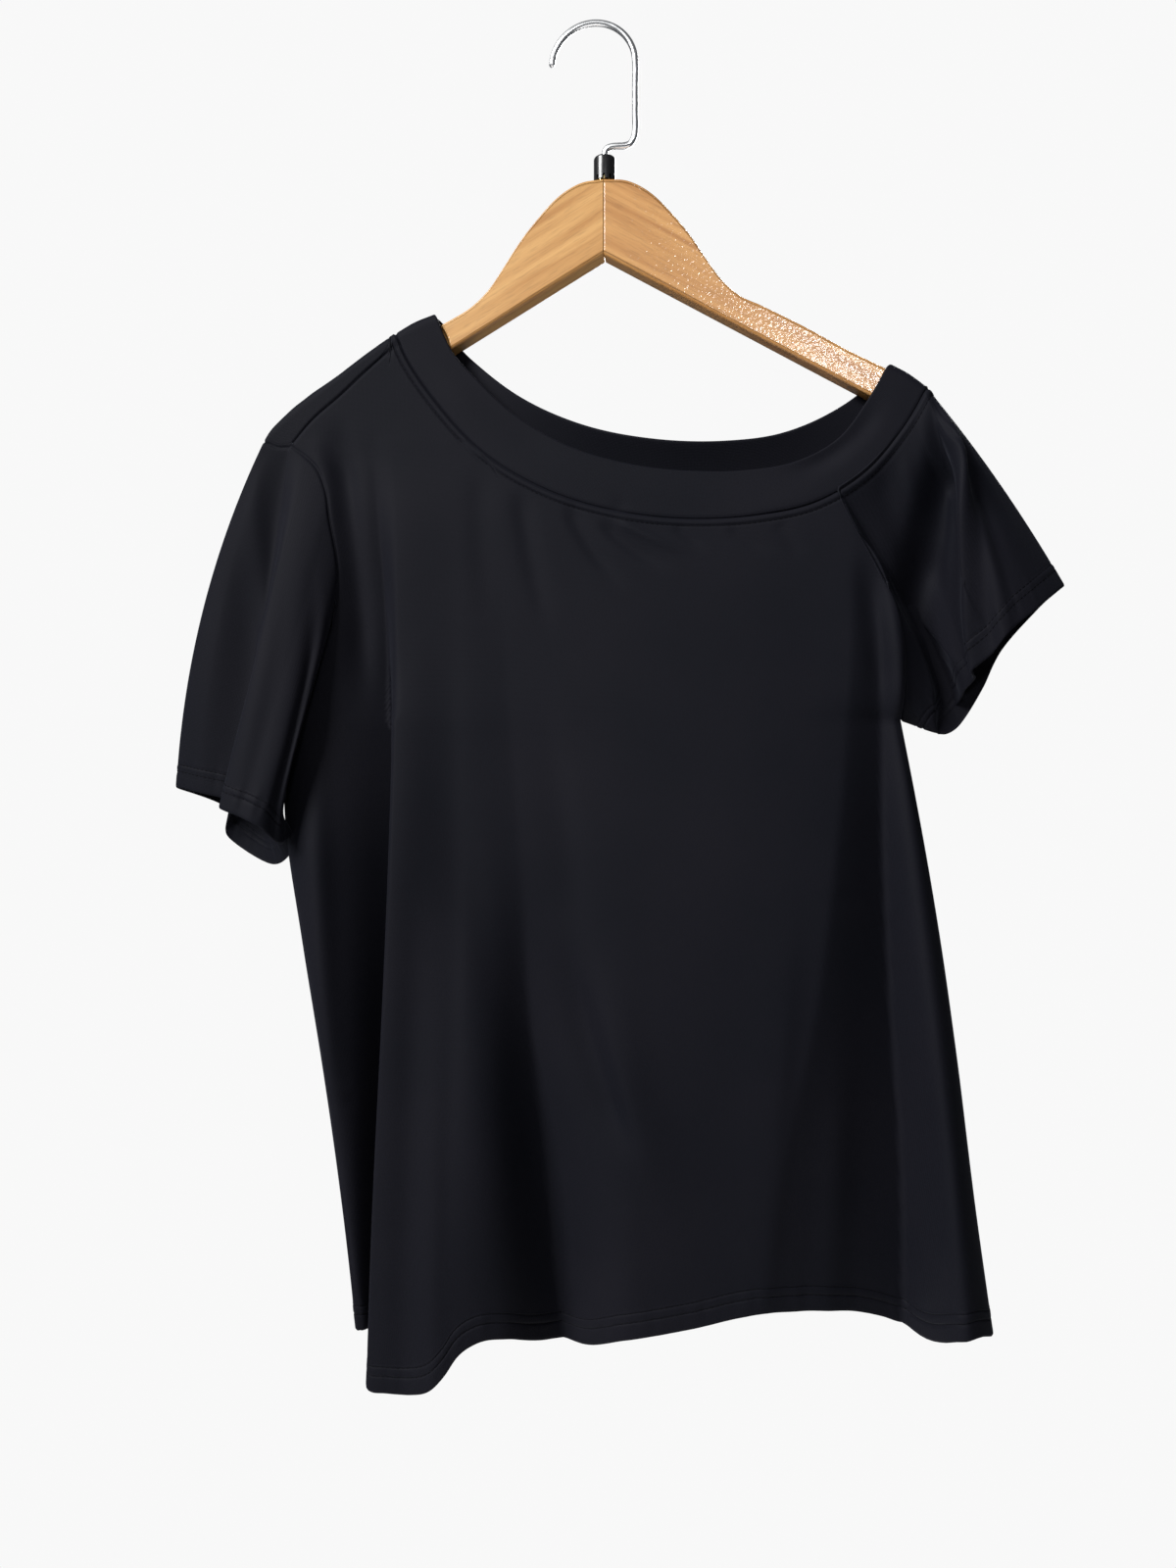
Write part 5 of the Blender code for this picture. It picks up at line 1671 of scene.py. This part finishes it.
def skirt_teeth(name, finish):
    """The skirt between the slots: blocks of four edges bent round the ring, one between each two
    slots, each edge a row of points at its own radius and height."""
    tooth_angle = 2.0 * math.pi / SLOT_COUNT - SLOT_WIDTH / CAP_RADIUS
    across = np.linspace(-0.5, 0.5, TOOTH_COLUMNS) * tooth_angle
    low, high = CAP_FOOT_Z, CAP_FOOT_Z + SLOT_HEIGHT + TOOTH_OVERLAP
    radius = np.asarray([CAP_RADIUS, CAP_RADIUS, CAP_SKIRT_RADIUS, CAP_SKIRT_RADIUS])
    z = np.asarray([low, high, high, low])
    middle = -math.pi / 2.0 + 2.0 * math.pi * (np.arange(SLOT_COUNT) + 0.5) / SLOT_COUNT
    angle = (middle[:, None] + across)[..., None]
    x = HANGER_X + radius * np.cos(angle)
    y = radius * np.sin(angle)
    points = np.stack([x, y, np.broadcast_to(z, x.shape)], axis=-1)
    faces = []
    for number in range(SLOT_COUNT):
        ring = number * TOOTH_COLUMNS * 4 + point_numbers(TOOTH_COLUMNS, 4, closed_across=True)
        faces += cell_corners(ring).reshape(-1, 4).tolist()
        faces += [ring[0, :4].tolist(), ring[-1, :4][::-1].tolist()]
    return new_piece(name, points, faces, finish)


cap_plastic = cap_material()
cap = turned_piece("cap_body", cap_profile(), cap_plastic)
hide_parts("size_cap")
skirt_teeth("cap_skirt", cap_plastic)

brass = metal_material("Bright_brass", BRASS_COLOUR, BRASS_ROUGHNESS)
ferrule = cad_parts["ferrule"]
ferrule.data.materials.clear()
ferrule.data.materials.append(brass)


# Studio
# A pale floor well below the hanging shirt, a pale surround, a soft light from the left in front
# and above, another behind the shirt, a small one that glances off the right arm's lacquer, and a
# camera level with the middle of the shirt, a little to its right.

CAMERA_PLACE = (0.073219, -0.729072, -0.471354)
CAMERA_YAW = math.radians(6.0)
CAMERA_LENS = 27.045
SENSOR = 36.0
FLOOR_Z = -1.9
SURROUND_LIGHT = 0.09
FLOOR_HALF = 1.2
FLOOR_DARK = (0.78, 0.78, 0.78)
FLOOR_LIGHT = (0.82, 0.82, 0.82)
SHIRT_MIDDLE = (0.02, 0.0, -0.5)


def floor_material():
    """Matt pale paint, a little uneven."""
    made, tree, shader = new_material("Pale_floor")
    shader.inputs["Roughness"].default_value = 0.9
    shader.inputs["Specular IOR Level"].default_value = 0.1
    place = tree.nodes.new("ShaderNodeTexCoord").outputs["Object"]
    cloud = noise(tree, place, scale=3.0)
    tree.links.new(tones(tree, cloud, FLOOR_DARK, FLOOR_LIGHT), shader.inputs["Base Color"])
    return made


floor_mesh = bpy.data.meshes.new("floor")
floor_corners = [
    (-FLOOR_HALF, -FLOOR_HALF, FLOOR_Z),
    (FLOOR_HALF, -FLOOR_HALF, FLOOR_Z),
    (FLOOR_HALF, FLOOR_HALF, FLOOR_Z),
    (-FLOOR_HALF, FLOOR_HALF, FLOOR_Z),
]
floor_mesh.from_pydata(floor_corners, [], [(0, 1, 2, 3)])
floor = bpy.data.objects.new("floor", floor_mesh)
bpy.context.scene.collection.objects.link(floor)
floor.data.materials.append(floor_material())

world = bpy.data.worlds.new("Studio")
bpy.context.scene.world = world
world.use_nodes = True
sky = world.node_tree
seen = sky.nodes["Background"]
seen.inputs["Color"].default_value = (0.94, 0.94, 0.94, 1.0)
seen.inputs["Strength"].default_value = 1.0
lighting = sky.nodes.new("ShaderNodeBackground")
lighting.inputs["Color"].default_value = (0.90, 0.94, 1.0, 1.0)
lighting.inputs["Strength"].default_value = SURROUND_LIGHT
ray = sky.nodes.new("ShaderNodeLightPath")
either = sky.nodes.new("ShaderNodeMixShader")
sky.links.new(ray.outputs["Is Camera Ray"], either.inputs["Fac"])
sky.links.new(lighting.outputs["Background"], either.inputs[1])
sky.links.new(seen.outputs["Background"], either.inputs[2])
sky.links.new(either.outputs["Shader"], sky.nodes["World Output"].inputs["Surface"])


def soft_light(name, place, target, size, power):
    """A square area light that faces a target."""
    data = bpy.data.lights.new(name, "AREA")
    data.shape = "SQUARE"
    data.size = size
    data.energy = power
    lamp = bpy.data.objects.new(name, data)
    lamp.location = place
    aim = np.asarray(target) - np.asarray(place)
    lamp.rotation_euler = (
        math.acos(-aim[2] / np.linalg.norm(aim)),
        0.0,
        math.atan2(aim[1], aim[0]) - math.pi / 2.0,
    )
    bpy.context.scene.collection.objects.link(lamp)


soft_light("key", (-2.75, -2.86, 2.18), SHIRT_MIDDLE, 1.7, 385.0)
soft_light("behind", (0.7, 3.4, 1.2), SHIRT_MIDDLE, 1.7, 240.0)
soft_light("glance", (0.33, -1.75, 0.34), (0.14, 0.0, -0.24), 0.12, 7.0)

camera_data = bpy.data.cameras.new("camera")
camera_data.lens = CAMERA_LENS
camera_data.sensor_width = SENSOR
camera_data.sensor_fit = "AUTO"
camera_data.clip_start = 0.01
camera = bpy.data.objects.new("camera", camera_data)
camera.location = CAMERA_PLACE
camera.rotation_euler = (math.pi / 2.0, 0.0, CAMERA_YAW)
bpy.context.scene.collection.objects.link(camera)
bpy.context.scene.camera = camera
bpy.context.scene.view_settings.view_transform = "Standard"

bpy.context.view_layer.update()
